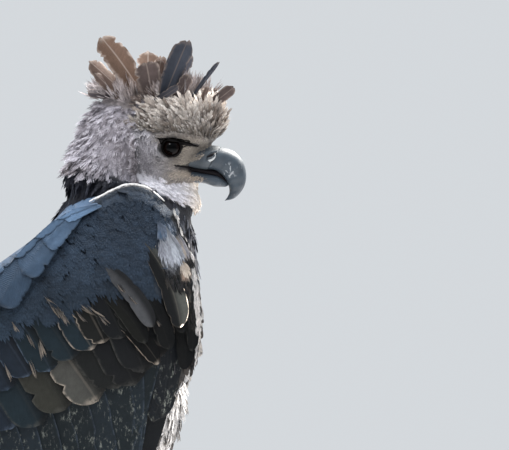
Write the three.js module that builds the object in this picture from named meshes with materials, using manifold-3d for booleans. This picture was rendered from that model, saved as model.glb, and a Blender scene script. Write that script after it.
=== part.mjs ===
import * as THREE from "three";
import { mergeVertices } from "three/addons/utils/BufferGeometryUtils.js";
import Module from "manifold-3d";

// A female harpy eagle, life size, standing with her wings hung loosely round her like a cloak.
// Millimetres. +X is the way she faces, +Y is her left, +Z is up and the floor is z = 0.
// The head, bill and breast are drawn in the X-Z plane, and each right-hand piece is mirrored to the left.

const wasm = await Module();
wasm.setup();

const gap = 0.45; // clearance between pieces that touch
const degrees = Math.PI / 180;

// Body masses: centre, radii along, across and up, and the tilt of the long radius in degrees
const torsoBlend = 8;
const torsoStar = { from: [30, 0, 380], stretch: [1.5, 0.85, 1.0], detail: 5, reach: 330 };
const torsoMasses = [
  { at: [22, 0, 372], r: [186, 86, 88], tilt: 38 },
  { at: [120, 0, 460], r: [82, 72, 86], tilt: 0 },
  { at: [84, 0, 366], r: [92, 72, 76], tilt: 30 },
  { at: [112, 0, 338], r: [68, 60, 84], tilt: 0 },
  { at: [-96, 0, 290], r: [72, 50, 46], tilt: 35 },
  { at: [100, 56, 448], r: [52, 30, 38], tilt: 34, paired: true },
];
const neckMasses = [
  { at: [126, 0, 522], r: [62, 58, 48], tilt: -8 },
  { at: [146, 0, 502], r: [44, 50, 42], tilt: 0 },
];
const headBlend = 4.5;
const headStar = { from: [148, 0, 580], stretch: [1.1, 0.9, 1], detail: 6, reach: 160 };
const headMasses = [
  { at: [166, 0, 608], r: [50, 37, 36], tilt: -6 },
  { at: [204, 0, 610], r: [23, 25, 22], tilt: 0 },
  { at: [153, 0, 576], r: [40, 38, 29], tilt: -10 },
  { at: [122, 0, 592], r: [46, 50, 48], tilt: 0 },
  { at: [104, 0, 560], r: [41, 54, 43], tilt: 0 },
  { at: [170, 0, 535], r: [34, 30, 26], tilt: -20 },
  { at: [178, 0, 551], r: [15, 12, 7], tilt: -6 },
  { at: [182, 25, 596], r: [24, 10, 6], tilt: -8, paired: true },
];
const bodyField = { masses: [...torsoMasses, ...neckMasses], blend: torsoBlend };
const headField = { masses: [...headMasses, ...neckMasses.slice(0, 1)], blend: headBlend };
const partings = { headLow: [60, 547], headFront: [205, 513], neckThick: 32 };

const eye = {
  at: [172, 25, 582.3], radius: 12.5, socket: [16, 8, 11], lid: 14.4, opening: [11.5, 30, 8], tilt: -6,
};

// Bill: matching stations along the ridge, the cutting edge and the half width
const billRidge = [
  [182, 574], [197, 582.5], [210, 586.5], [222, 585], [234, 580], [242, 570.5],
  [246, 558.5], [245, 547], [240.5, 538.5], [233, 531.5], [224.5, 528.6],
];
const billEdge = [
  [176, 563.5], [190, 562], [203, 560], [212, 559], [220, 556.5], [226, 553],
  [229.5, 547], [229.5, 541], [228.5, 536], [227, 531.5], [224.5, 528.6],
];
const billHalf = [15, 17, 17.5, 16, 14, 12, 9.5, 7.5, 5.5, 3.5, 0.2];
const jawTop = [[174, 562], [190, 559], [205, 556], [218, 552.5], [228, 549]];
const jawLow = [[176, 548], [190, 546.5], [205, 545], [217, 543.5], [227, 544.5]];
const jawHalf = [14, 14, 12.5, 10, 3];
const cere = { at: [214, 0, 572], lean: -29 };
const nostril = { at: [212, 14, 572], r: [7.5, 4.5, 1.9], tilt: 34 };
const mouth = { corner: [172, 564], mid: [196, 560.5], front: [224, 555], high: [0.6, 2.4, 4.6], half: 26 };

// The wing's surface: how far out from the middle plane it hangs, over the X-Z plane
const wingDome = {
  at: [40, 380], front: 175, back: 140, out: 118, fall: 42, power: 2.2, top: 26, up: 160, tuck: 0.05,
};
const forearm = {
  line: [[-52, 370], [20, 424], [84, 468], [138, 503], [172, 508]],
  half: [24, 40, 48, 43, 19],
  thick: 9,
};
const hand = {
  line: [[162, 498], [180, 458], [186, 410], [182, 350]], half: [18, 18, 15, 8], thick: 6, inward: 3,
};
const shoulder = { at: [104, 74, 462], r: [46, 34, 34], tilt: 30 };
const upperArm = { at: [20, 78, 412], r: [92, 26, 26], tilt: 36 };

// Rows of feathers: root line, heading and length at the first and last feather, half width and layer
const secondaries = {
  count: 9, from: [156, 488], to: [-40, 374], start: [-72, -47, -50], end: [-110, -115, -118],
  length: [292, 292, 258], half: 30, thick: 1, slope: 0.12, layer: -1,
};
const greaterCoverts = {
  count: 6, from: [150, 484], to: [-34, 380], start: [-74, -48, -50], end: [-82, -57, -63],
  length: [112, 118, 104], half: 26, thick: 1.2, slope: 0.08, layer: 4.5, short: true,
};
const medianCoverts = {
  count: 5, from: [146, 488], to: [-42, 392], start: [-70, -48, -56], end: [-76, -55, -64],
  length: [80, 76, 68], half: 25, thick: 1.2, slope: 0.075, layer: 9, short: true,
};
const primaries = {
  count: 7, from: [170, 474], to: [185, 382], start: [-88, -97, -106], end: [-124, -138, -146],
  length: [300, 392, 340], half: 21, thick: 1.0, slope: 0.05, layer: -7, step: -1.7,
};
const primaryCoverts = {
  count: 3, from: [166, 466], to: [188, 392], start: [-82, -88, -98], end: [-96, -104, -112],
  length: [128, 122, 84], half: 16, thick: 1.1, slope: 0.1, layer: 1, step: -2, short: true,
};
const alula = {
  count: 2, from: [170, 486], to: [182, 466], start: [-76, -80, -84], end: [-84, -90, -94],
  length: [92, 82, 66], half: 11, thick: 1.1, slope: 0.1, layer: 5, step: -1.5, short: true,
};

const tail = {
  root: [-136, 0, 262], pitch: 35, length: 402, pairs: 6, half: 27, thick: 1.4,
  rootStep: 3.4, tipStep: 9.5, drop: 1.4, bow: 10,
  core: { along: 34, length: 112, half: 42, high: 30, low: 9 },
  coverts: { above: [[84, 4]], below: [[74, 3]], length: 92, half: 22, thick: 1.2 },
};
const scapulars = { rows: 2, count: 3, length: 104, half: 28, thick: 1.4 };
const ruff = {
  lean: -12, length: 32, half: 13.5, thick: 1.2, sunk: 4, fall: 0.55,
  rings: [
    { back: 100, lift: 0.5, turns: [30, 58, 86, 114, 142] },
    { back: 120, lift: 0.34, turns: [16, 44, 72, 100, 128] },
    { back: 141, lift: 0.3, turns: [0, 46, 92] },
    { back: 162, lift: 0.3, turns: [0] },
  ],
};

// Legs: hip bulge to ankle, then the bare tarsus and the foot
const thighLine = [[112, 50, 352], [88, 52, 290], [58, 50, 215], [42, 48, 160]];
const thighRadius = [66, 56, 31, 17];
const tarsusLine = [[46, 48, 178], [41, 48, 146], [50, 49, 90], [60, 50, 34], [62, 50, 16]];
const tarsusRadius = [11, 14, 11.5, 12.5, 13];
const toes = [
  { name: "middle", turn: 4, length: 84, radius: 10.5, claw: 44, clawHigh: 14 },
  { name: "inner", turn: 24, length: 58, radius: 11, claw: 52, clawHigh: 18 },
  { name: "outer", turn: -34, length: 64, radius: 9.5, claw: 38, clawHigh: 12 },
  { name: "hind", turn: 172, length: 46, radius: 12, claw: 66, clawHigh: 27 },
];
const footCentre = [60, 50];

// Crest feathers on the right and left: root x and z, tip x and z, half width and sideways curl
const crest = {
  sunk: 9, thick: 1.1, spread: 0.02,
  right: [
    [138, 640, 105, 694, 13, 0.35], [128, 634, 91, 668, 8, 0.25], [110, 632, 87, 635, 5.5, 0],
    [152, 644, 150, 674, 10, 0],
    [165, 640, 187, 691, 11, 0.05], [163, 634, 185, 643, 6, 0.3], [179, 638, 192, 653, 6, 0.2],
    [196, 638, 219, 671, 4, -0.1],
    [222, 626, 233, 643, 5.5, 0],
  ],
  left: [
    [136, 640, 110, 688, 11, 0.3], [126, 636, 98, 664, 8, 0.2], [110, 632, 90, 639, 5.5, 0],
    [143, 643, 147, 686, 10, 0],
    [156, 642, 161, 674, 8, 0], [172, 640, 193, 675, 8, 0], [184, 637, 197, 655, 6, 0.2],
    [190, 636, 209, 660, 5, 0],
    [220, 626, 229, 642, 5.5, 0],
  ],
};

const V = (x, y, z) => new THREE.Vector3(x, y, z);
const lerp = (a, b, t) => a + (b - a) * t;

// Reads a list of numbers as a smooth run from its first to its last value.
function along(values, t) {
  const place = Math.min(Math.max(t, 0), 1) * (values.length - 1);
  const i = Math.min(Math.floor(place), values.length - 2);
  const s = place - i;
  return lerp(values[i], values[i + 1], s * s * (3 - 2 * s));
}

// Three values, at the start, middle and end of a row.
function threeWay(values, t) {
  return t < 0.5 ? lerp(values[0], values[1], t * 2) : lerp(values[1], values[2], t * 2 - 1);
}

function solid(geometry) {
  const bare = new THREE.BufferGeometry().setAttribute("position", geometry.getAttribute("position"));
  bare.setIndex(geometry.index);
  const merged = mergeVertices(bare, 1e-4);
  const p = merged.attributes.position.array;
  const corners = [];
  let volume = 0;
  const index = merged.index.array;
  for (let i = 0; i < index.length; i += 3) {
    const [a, b, c] = [index[i], index[i + 1], index[i + 2]];
    if (a === b || b === c || c === a) continue;
    corners.push(a, b, c);
    const [pa, pb, pc] = [a, b, c].map((k) => V(p[3 * k], p[3 * k + 1], p[3 * k + 2]));
    volume += pa.dot(pb.cross(pc));
  }
  if (volume < 0) corners.reverse();
  return new wasm.Manifold(
    new wasm.Mesh({ numProp: 3, vertProperties: new Float32Array(p), triVerts: new Uint32Array(corners) }),
  );
}

function join(pieces) {
  let row = [...pieces];
  while (row.length > 1) {
    const next = [];
    for (let i = 0; i < row.length; i += 2) next.push(i + 1 < row.length ? row[i].add(row[i + 1]) : row[i]);
    row = next;
  }
  return row[0];
}

function largest(body) {
  const pieces = body.decompose();
  return pieces.reduce((best, piece) => (piece.volume() > best.volume() ? piece : best), pieces[0]);
}

const mirrored = (body) => body.scale([1, -1, 1]);

// Distance from an ellipsoid's surface, negative inside.
function ellipsoidDistance(mass, x, y, z) {
  const tilt = mass.tilt * degrees;
  const dx = x - mass.at[0];
  const dz = z - mass.at[2];
  const along = dx * Math.cos(tilt) + dz * Math.sin(tilt);
  const q = [along, y - mass.at[1], dz * Math.cos(tilt) - dx * Math.sin(tilt)];
  const near = Math.hypot(...q.map((value, i) => value / mass.r[i]));
  const steep = Math.hypot(...q.map((value, i) => value / mass.r[i] ** 2));
  return steep < 1e-9 ? -Math.min(...mass.r) : (near * (near - 1)) / steep;
}

// Distance from several ellipsoids melted together.
function fieldDistance({ masses, blend }, x, y, z) {
  let sum = 0;
  for (const mass of masses) {
    sum += Math.exp(-ellipsoidDistance(mass, x, y, z) / blend);
    if (mass.paired) sum += Math.exp(-ellipsoidDistance(mass, x, -y, z) / blend);
  }
  return -blend * Math.log(sum);
}

// How far the melted ellipsoids reach from an inner point along a ray.
function reachAlong(setting, field, ray) {
  const [cx, cy, cz] = setting.from;
  const inside = (r) => fieldDistance(field, cx + ray.x * r, cy + ray.y * r, cz + ray.z * r) < 0;
  const step = 3;
  let outer = setting.reach;
  while (outer > step && !inside(outer)) outer -= step;
  let inner = outer;
  outer += step;
  for (let k = 0; k < 12; k++) {
    const middle = (inner + outer) / 2;
    if (inside(middle)) inner = middle;
    else outer = middle;
  }
  return inner;
}

// A closed skin round melted ellipsoids, found along rays from one inner point.
function star(setting, field, grow = 0) {
  const ball = new THREE.IcosahedronGeometry(1, setting.detail);
  const spot = ball.getAttribute("position");
  const middle = V(...setting.from);
  for (let i = 0; i < spot.count; i++) {
    const ray = V(spot.getX(i), spot.getY(i), spot.getZ(i)).multiply(V(...setting.stretch)).normalize();
    const p = middle.clone().addScaledVector(ray, reachAlong(setting, field, ray) + grow);
    spot.setXYZ(i, p.x, p.y, p.z);
  }
  return solid(ball);
}

function ellipsoid(mass, grow = 0, detail = 3) {
  const ball = new THREE.IcosahedronGeometry(1, detail);
  ball.scale(mass.r[0] + grow, mass.r[1] + grow, mass.r[2] + grow);
  ball.rotateY(-mass.tilt * degrees);
  ball.translate(...mass.at);
  return solid(ball);
}

// A round-ended limb along points, with a radius run; wide stretches it sideways.
function limb(points, radii, { sides = 14, rings = 14, grow = 0, wide = 1, round = 0.1 } = {}) {
  const line = new THREE.CatmullRomCurve3(points.map((p) => V(...p)));
  const ball = new THREE.SphereGeometry(1, sides, rings);
  const spot = ball.getAttribute("position");
  for (let i = 0; i < spot.count; i++) {
    const [x, y, z] = [spot.getX(i), spot.getY(i), spot.getZ(i)];
    const t = Math.acos(THREE.MathUtils.clamp(y, -1, 1)) / Math.PI;
    const turn = Math.atan2(z, x);
    const close = Math.min(t, 1 - t, round) / round;
    const r = (along(radii, t) + grow) * Math.sqrt(Math.max(0, 1 - (1 - close) ** 2));
    const tangent = line.getTangent(t);
    const side = V(0, 1, 0).cross(tangent).normalize();
    const across = tangent.clone().cross(side).normalize();
    const end = tangent.multiplyScalar(t < 0.5 ? -grow * (1 - close) : grow * (1 - close));
    const p = line.getPoint(t).add(end);
    p.addScaledVector(side, r * Math.cos(turn)).addScaledVector(across, r * wide * Math.sin(turn));
    spot.setXYZ(i, p.x, p.y, p.z);
  }
  return solid(ball);
}

// A thin plate. place(u, t) gives its middle surface and the way out from it, u across from -1 to 1, t along.
// Both faces are cut into the same triangles.
function plate(place, thick, stations, columns = 1) {
  const rows = stations.length;
  const wide = columns + 1;
  const points = [];
  for (const face of [0.5, -0.5]) {
    for (const t of stations) {
      for (let i = 0; i < wide; i++) {
        const { point, out } = place((i / columns) * 2 - 1, t);
        points.push(...point.clone().addScaledVector(out, face * thick).toArray());
      }
    }
  }
  const faces = [];
  const low = rows * wide;
  const quad = (a, b, c, d) => faces.push(a, b, c, a, c, d);
  for (let j = 0; j + 1 < rows; j++) {
    for (let i = 0; i < columns; i++) {
      const a = j * wide + i;
      quad(a, a + 1, a + wide + 1, a + wide);
      faces.push(low + a, low + a + wide + 1, low + a + 1, low + a, low + a + wide, low + a + wide + 1);
    }
    const left = j * wide;
    const right = left + columns;
    quad(left, left + wide, low + left + wide, low + left);
    quad(right + wide, right, low + right, low + right + wide);
  }
  const last = (rows - 1) * wide;
  for (let i = 0; i < columns; i++) {
    quad(i + 1, i, low + i, low + i + 1);
    quad(last + i, last + i + 1, low + last + i + 1, low + last + i);
  }
  const sheet = new THREE.BufferGeometry();
  sheet.setAttribute("position", new THREE.BufferAttribute(new Float32Array(points), 3));
  sheet.setIndex(faces);
  return solid(sheet);
}

const vaneStations = [0, 0.4, 0.86, 1];
const vaneWidths = { 0: 0.5, 0.4: 0.92, 0.86: 1, 1: 0.42 };
const shortStations = [0, 0.66, 1];
const shortWidths = { 0: 0.42, 0.66: 1, 1: 0.36 };
const plumeStations = [0, 0.35, 0.8, 1];
const plumeWidths = { 0: 0.4, 0.35: 0.8, 0.8: 1, 1: 0.4 };

// A cutter also reaches past both ends of what it clears.
function endGrowth(t, grow) {
  return t === 1 ? grow : t === 0 ? -grow : 0;
}

// How far out from the middle plane the wing hangs at a place in the X-Z plane.
function wingOut(x, z) {
  const dx = Math.abs(x - wingDome.at[0]) / (x > wingDome.at[0] ? wingDome.front : wingDome.back);
  const dz = z - wingDome.at[1];
  const high = dz > 0 ? wingDome.top * (dz / wingDome.up) ** 2 : -dz * wingDome.tuck;
  return wingDome.out - wingDome.fall * dx ** wingDome.power - high;
}

// A point on an arc of the given length that leaves root at one heading and ends at another.
function onArc(root, start, end, length, t) {
  const [a, b] = [start * degrees, lerp(start, end, t) * degrees];
  const turn = b - a;
  const chord = Math.abs(turn) < 1e-6 ? length * t : ((length * t) / turn) * 2 * Math.sin(turn / 2);
  const heading = (a + b) / 2;
  return { x: root[0] + chord * Math.cos(heading), z: root[1] + chord * Math.sin(heading), heading: b };
}

function wingFeather(row, share, grow) {
  const layer = row.layer + (row.step ?? 0) * share * (row.count - 1);
  const root = [lerp(row.from[0], row.to[0], share), lerp(row.from[1], row.to[1], share)];
  const [start, end] = [threeWay(row.start, share), threeWay(row.end, share)];
  const length = threeWay(row.length, share);
  const [stations, widths] = row.short ? [shortStations, shortWidths] : [vaneStations, vaneWidths];
  return plate(
    (u, t) => {
      const spot = onArc(root, start, end, length, t);
      const reach = u * (row.half * widths[t] + grow);
      const beyond = endGrowth(t, grow);
      const x = spot.x - Math.sin(spot.heading) * reach + Math.cos(spot.heading) * beyond;
      const z = spot.z + Math.cos(spot.heading) * reach + Math.sin(spot.heading) * beyond;
      const out = wingOut(x, z) + layer + row.slope * reach;
      return { point: V(x, -out, z), out: V(0, -1, 0) };
    },
    row.thick + 2 * grow,
    stations,
  );
}

function featherRow(row, grow) {
  return Array.from({ length: row.count }, (_, i) => wingFeather(row, i / (row.count - 1), grow));
}

// The fleshy part of the wing: a flat pad along a line, bent onto the wing's surface.
function wingPad(part, grow) {
  const line = new THREE.CatmullRomCurve3(part.line.map(([x, z]) => V(x, 0, z)));
  const ball = new THREE.SphereGeometry(1, 8, 10);
  const spot = ball.getAttribute("position");
  for (let i = 0; i < spot.count; i++) {
    const [sx, sy, sz] = [spot.getX(i), spot.getY(i), spot.getZ(i)];
    const t = Math.acos(THREE.MathUtils.clamp(sy, -1, 1)) / Math.PI;
    const turn = Math.atan2(sz, sx);
    const close = Math.sqrt(Math.max(0, 1 - (1 - Math.min(t, 1 - t, 0.12) / 0.12) ** 2));
    const heading = line.getTangent(t);
    const centre = line.getPoint(t).addScaledVector(heading, (t < 0.5 ? -grow : grow) * (1 - close));
    const reach = (along(part.half, t) + grow) * close * Math.cos(turn);
    const x = centre.x - heading.z * reach;
    const z = centre.z + heading.x * reach;
    const lift = (part.thick + grow) * close * Math.sin(turn) - (part.inward ?? 0);
    spot.setXYZ(i, x, -(wingOut(x, z) + lift), z);
  }
  return solid(ball);
}

function forearmSolid(grow = 0) {
  return join([
    wingPad(forearm, grow),
    ...[shoulder, upperArm].map((mass) => {
      return ellipsoid({ ...mass, at: [mass.at[0], -mass.at[1], mass.at[2]] }, grow, 2);
    }),
    ...featherRow(secondaries, grow),
    ...featherRow(greaterCoverts, grow),
    ...featherRow(medianCoverts, grow),
  ]);
}

function handSolid(grow = 0) {
  return join([
    wingPad(hand, grow),
    ...featherRow(primaries, grow),
    ...featherRow(primaryCoverts, grow),
    ...featherRow(alula, grow),
  ]);
}

// A feather or lock on the body: rooted at a point, running along a heading and lying flat to a normal.
function bodyFeather(setting, grow = 0) {
  const { root, heading, normal, length, half, thick } = setting;
  const { bend = 0, curl = 0, twist = 0, plume = false } = setting;
  const [stations, widths] = plume ? [plumeStations, plumeWidths] : [shortStations, shortWidths];
  const way = heading.clone().normalize();
  const out = normal.clone().addScaledVector(way, -normal.dot(way)).normalize();
  const side = way.clone().cross(out).normalize().applyAxisAngle(way, twist);
  const lift = side.clone().cross(way).normalize();
  return plate(
    (u, t) => {
      const point = root.clone().addScaledVector(way, length * t + endGrowth(t, grow));
      point.addScaledVector(side, u * (half * widths[t] + grow) + curl * length * t * t * 0.5);
      return { point: point.addScaledVector(lift, bend * t * t), out: lift };
    },
    thick + 2 * grow,
    stations,
  );
}

// The point where a ray leaves a field's skin, with the skin's outward normal there.
function skinPoint(setting, field, ray) {
  const way = ray.clone().normalize();
  const point = V(...setting.from).addScaledVector(way, reachAlong(setting, field, way));
  const slope = (dx, dy, dz) =>
    fieldDistance(field, point.x + dx, point.y + dy, point.z + dz) -
    fieldDistance(field, point.x - dx, point.y - dy, point.z - dz);
  return { point, normal: V(slope(1, 0, 0), slope(0, 1, 0), slope(0, 0, 1)).normalize() };
}

// Long smooth feathers from the shoulders back along the body, over the wings' upper edge.
function scapularFeathers(grow = 0) {
  const feathers = [];
  for (let row = 0; row < scapulars.rows; row++) {
    for (let i = 0; i < scapulars.count; i++) {
      const share = i / (scapulars.count - 1);
      const ray = V(lerp(0.35, -1.15, share), -(0.24 + 0.26 * row), lerp(1.05, 0.42, share));
      const { point, normal } = skinPoint(torsoStar, bodyField, ray);
      const heading = V(-0.8, -0.06 * row, -0.6).addScaledVector(normal, 0.13);
      const root = point.clone().addScaledVector(normal, -3);
      const size = { length: scapulars.length, half: scapulars.half, thick: scapulars.thick };
      const right = { root, heading, normal, ...size };
      const flip = (v) => V(v.x, -v.y, v.z);
      const left = { ...right, root: flip(root), heading: flip(heading) };
      left.normal = V(normal.x, -normal.y, normal.z);
      feathers.push(bodyFeather(right, grow), bodyFeather(left, grow));
    }
  }
  return feathers;
}

function ruffFeathers() {
  const feathers = [];
  const lean = ruff.lean * degrees;
  const ahead = V(Math.cos(lean), 0, Math.sin(lean));
  const up = V(-Math.sin(lean), 0, Math.cos(lean));
  for (const { back, lift, turns } of ruff.rings) {
    for (const turn of turns) {
      for (const side of turn === 0 ? [1] : [1, -1]) {
        const around = up.clone().multiplyScalar(Math.cos(turn * degrees));
        around.addScaledVector(V(0, side, 0), Math.sin(turn * degrees));
        const ray = around.clone().multiplyScalar(Math.sin(back * degrees));
        ray.addScaledVector(ahead, Math.cos(back * degrees));
        const { point, normal } = skinPoint(headStar, headField, ray);
        const heading = around.multiplyScalar(Math.cos(back * degrees));
        heading.addScaledVector(ahead, -Math.sin(back * degrees));
        heading.z -= ruff.fall;
        heading.addScaledVector(normal, -heading.dot(normal)).normalize();
        const root = point.addScaledVector(normal, -ruff.sunk);
        feathers.push(bodyFeather({ ...ruff, root, heading: heading.addScaledVector(normal, lift), normal }));
      }
    }
  }
  return feathers;
}

function crestFeathers() {
  const feathers = [];
  for (const side of [1, -1]) {
    const list = side > 0 ? crest.left : crest.right;
    for (const [i, [x, z, tipX, tipZ, half, curl]] of list.entries()) {
      const heading = V(tipX - x, 0, tipZ - z);
      const length = heading.length() + crest.sunk;
      heading.normalize();
      const y = side * Math.min(26, Math.max(6, 34 - Math.abs(x - 140) * 0.3));
      const root = V(x, y, z).addScaledVector(heading, -crest.sunk);
      heading.y = (crest.spread + 0.13 * (i % 4)) * side;
      const twist = (i % 3 === 0 ? 0.3 : 0.55) * side;
      const bend = 0.1 * length;
      const shape = { length, half, curl: curl * side, thick: crest.thick, bend, twist, plume: true };
      feathers.push(bodyFeather({ root, heading, normal: V(0, side, 0), ...shape }));
    }
  }
  return feathers;
}

// A blade between two profile lines in the X-Z plane, oval across.
function blade(ridge, edge, half, grow = 0, sides = 10, rings = 13) {
  const line = (points) => new THREE.CatmullRomCurve3(points.map(([x, z]) => V(x, 0, z)));
  const [upper, lower] = [line(ridge), line(edge)];
  const ball = new THREE.SphereGeometry(1, sides, rings);
  const spot = ball.getAttribute("position");
  for (let i = 0; i < spot.count; i++) {
    const [sx, sy, sz] = [spot.getX(i), spot.getY(i), spot.getZ(i)];
    const t = Math.acos(THREE.MathUtils.clamp(sy, -1, 1)) / Math.PI;
    const turn = Math.atan2(sz, sx);
    const close = Math.sqrt(Math.min(t / 0.04, 1)) * Math.sqrt(Math.min((1 - t) / 0.05, 1));
    const place = t * (ridge.length - 1);
    const k = Math.min(Math.floor(place), ridge.length - 2);
    const [top, low] = [upper, lower].map((curve) => curve.getPoint((k + place - k) / (ridge.length - 1)));
    const middle = top.clone().add(low).multiplyScalar(0.5);
    const rise = top.clone().sub(middle);
    const high = rise.length() + grow;
    const cos = Math.cos(turn);
    const sin = Math.sin(turn);
    const square = cos < 0 ? 0.62 : 1;
    const lift = high * close * Math.sign(cos) * Math.abs(cos) ** square;
    const p = middle.addScaledVector(rise.normalize(), lift);
    p.y = (along(half, t) + grow) * close * Math.sign(sin) * Math.abs(sin) ** (cos < 0 ? 0.8 : 0.9);
    spot.setXYZ(i, p.x, p.y, p.z);
  }
  return solid(ball);
}

function footSolids(grow = 0) {
  const toePieces = toes.map((toe) => {
    const turn = toe.turn * degrees;
    const way = V(Math.cos(turn), Math.sin(turn), 0);
    const spot = (reach, z) => V(footCentre[0], -footCentre[1], z).addScaledVector(way, reach).toArray();
    const r = toe.radius;
    const l = toe.length;
    const points = [spot(-9, 17), spot(l * 0.3, 15), spot(l * 0.65, r - 1.2), spot(l, r - 1)];
    return limb(points, [r * 1.1, r, r * 1.04, r * 0.85], { sides: 8, rings: 6, grow });
  });
  return join(toePieces);
}

function clawSolid(toe, grow = 0) {
  const turn = toe.turn * degrees;
  const way = V(Math.cos(turn), Math.sin(turn), 0);
  const spot = (reach, z) => {
    return V(footCentre[0], -footCentre[1], z).addScaledVector(way, toe.length + reach).toArray();
  };
  const points = [
    spot(-9, toe.radius),
    spot(toe.claw * 0.2, toe.radius + toe.clawHigh * 0.62),
    spot(toe.claw * 0.62, toe.radius + toe.clawHigh * 0.42),
    spot(toe.claw * 0.9, 2.4),
  ];
  const r = toe.radius * 0.62;
  return limb(points, [r, r, r * 0.62, 0.9], { sides: 6, rings: 7, grow, wide: 0.8, round: 0.06 });
}

function thighSolid(grow = 0) {
  const points = thighLine.map(([x, y, z]) => [x, -y, z]);
  const pieces = [limb(points, thighRadius, { sides: 10, rings: 9, grow, wide: 0.62, round: 0.22 })];
  const line = new THREE.CatmullRomCurve3(points.map((p) => V(...p)));
  const rows = [[0.55, 5, 50], [0.78, 3, 42]];
  for (const [t, count, length] of rows) {
    for (let i = 0; i < count; i++) {
      const turn = ((i + (t > 0.6 ? 0.5 : 0)) / count) * 2 * Math.PI;
      const centre = line.getPoint(t);
      const tangent = line.getTangent(t);
      const side = V(0, 1, 0).cross(tangent).normalize();
      const across = tangent.clone().cross(side);
      const r = along(thighRadius, t);
      const normal = side.multiplyScalar(Math.cos(turn)).addScaledVector(across, Math.sin(turn));
      const root = centre.addScaledVector(normal, r * (0.62 + 0.38 * Math.cos(turn) ** 2) - 6);
      const heading = tangent.clone().addScaledVector(normal, 0.02);
      pieces.push(bodyFeather({ root, heading, normal, length, half: r * 0.36, thick: 1.6 }, grow));
    }
  }
  return join(pieces);
}

// The head, neck and torso as one body, parted by two thin slanting cuts.
const { headLow, headFront } = partings;
const headLine = V(headFront[0] - headLow[0], 0, headFront[1] - headLow[1]);
const partingUp = V(-headLine.z, 0, headLine.x).normalize();
const headCut = V(headLow[0], 0, headLow[1]);
const neckCut = headCut.clone().addScaledVector(partingUp, -partings.neckThick);
const above = (body, cut) => body.trimByPlane(partingUp.toArray(), partingUp.dot(cut) + gap / 2);
const partingDown = partingUp.clone().negate().toArray();
const below = (body, cut) => body.trimByPlane(partingDown, gap / 2 - partingUp.dot(cut));
const overFloor = (body) => body.trimByPlane([0, 0, 1], 0);

const bodyCore = star(torsoStar, bodyField).add(star(headStar, headField));

// Slot between the upper and lower bill, running back to the corner of the mouth.
function mouthSlot() {
  const ridge = [mouth.corner, mouth.mid, mouth.front].map(([x, z], i) => [x, z + mouth.high[i] / 2]);
  const edge = [mouth.corner, mouth.mid, mouth.front].map(([x, z], i) => [x, z - mouth.high[i] / 2]);
  return blade(ridge, edge, [mouth.half, mouth.half, mouth.half], 0, 12, 10);
}

function eyeBall(side, grow = 0, detail = 2) {
  const at = [eye.at[0], eye.at[1] * side, eye.at[2]];
  return ellipsoid({ at, r: [eye.radius, eye.radius, eye.radius], tilt: 0 }, grow, detail);
}

function socketDip(side) {
  const at = [eye.at[0], (eye.at[1] + 14) * side, eye.at[2]];
  return ellipsoid({ at, r: eye.socket, tilt: eye.tilt }, 0, 1);
}

function lidOpening(side) {
  const at = [eye.at[0] + 1, (eye.at[1] + 14) * side, eye.at[2] - 0.5];
  return ellipsoid({ at, r: eye.opening, tilt: eye.tilt }, 0, 1);
}

const wholeBill = blade(billRidge, billEdge, billHalf);
const lowerBill = blade(jawTop, jawLow, jawHalf, 0, 10, 10);
const cereWay = V(Math.cos(cere.lean * degrees), 0, Math.sin(cere.lean * degrees));
const cerePlace = cereWay.dot(V(...cere.at));

let head = above(join([bodyCore, ...ruffFeathers(), ...crestFeathers()]), headCut).subtract(mouthSlot());
for (const side of [1, -1]) {
  head = head.subtract(socketDip(side)).add(eyeBall(side, eye.lid - eye.radius, 1));
  head = head.subtract(eyeBall(side, gap)).subtract(lidOpening(side));
}
head = largest(head);

const nostrils = [1, -1].map((side) =>
  ellipsoid({ ...nostril, at: [nostril.at[0], nostril.at[1] * side, nostril.at[2]] }, 0, 1));
const freeOfHead = (body) => body.subtract(star(headStar, headField, gap + 0.1)).subtract(mouthSlot());
const bareCere = freeOfHead(wholeBill.trimByPlane(cereWay.clone().negate().toArray(), gap / 2 - cerePlace));
const cereSolid = largest(nostrils.reduce((body, hole) => body.subtract(hole), bareCere));
const upperBill = largest(freeOfHead(wholeBill.trimByPlane(cereWay.toArray(), cerePlace + gap / 2)));
const jaw = largest(freeOfHead(lowerBill).subtract(blade(billRidge, billEdge, billHalf, gap)));

const neck = largest(above(below(bodyCore, headCut), neckCut));
const torso = largest(below(join([bodyCore, ...scapularFeathers()]), neckCut));
const bodyGrown = join([
  star(torsoStar, bodyField, gap + 0.2),
  star(headStar, headField, gap + 0.2),
  ...scapularFeathers(gap),
]);

const forearmRight = largest(forearmSolid().subtract(bodyGrown));
const handRight = largest(handSolid().subtract(forearmSolid(gap)).subtract(bodyGrown));

// Short feathers above and below the root of the tail, lying from its core onto the long ones.
function tailCoverts(way, out, grow) {
  const { along: middle, length, half, high } = tail.core;
  const feathers = [];
  for (const face of [1, -1]) {
    for (const [reach, count] of face > 0 ? tail.coverts.above : tail.coverts.below) {
      for (let i = 0; i < count; i++) {
        const y = (i / (count - 1) - 0.5) * half;
        const rise = high * Math.sqrt(Math.max(0.04, 1 - ((reach - middle) / length) ** 2 - (y / half) ** 2));
        const root = V(...tail.root).addScaledVector(way, reach);
        root.addScaledVector(out, face * (rise - 3) - tail.core.low);
        root.y += y;
        const heading = way.clone().addScaledVector(out, face * -0.12);
        heading.y += y * 0.004;
        const normal = out.clone().multiplyScalar(face);
        feathers.push(bodyFeather({ ...tail.coverts, root, heading, normal }, grow));
      }
    }
  }
  return feathers;
}

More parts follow.
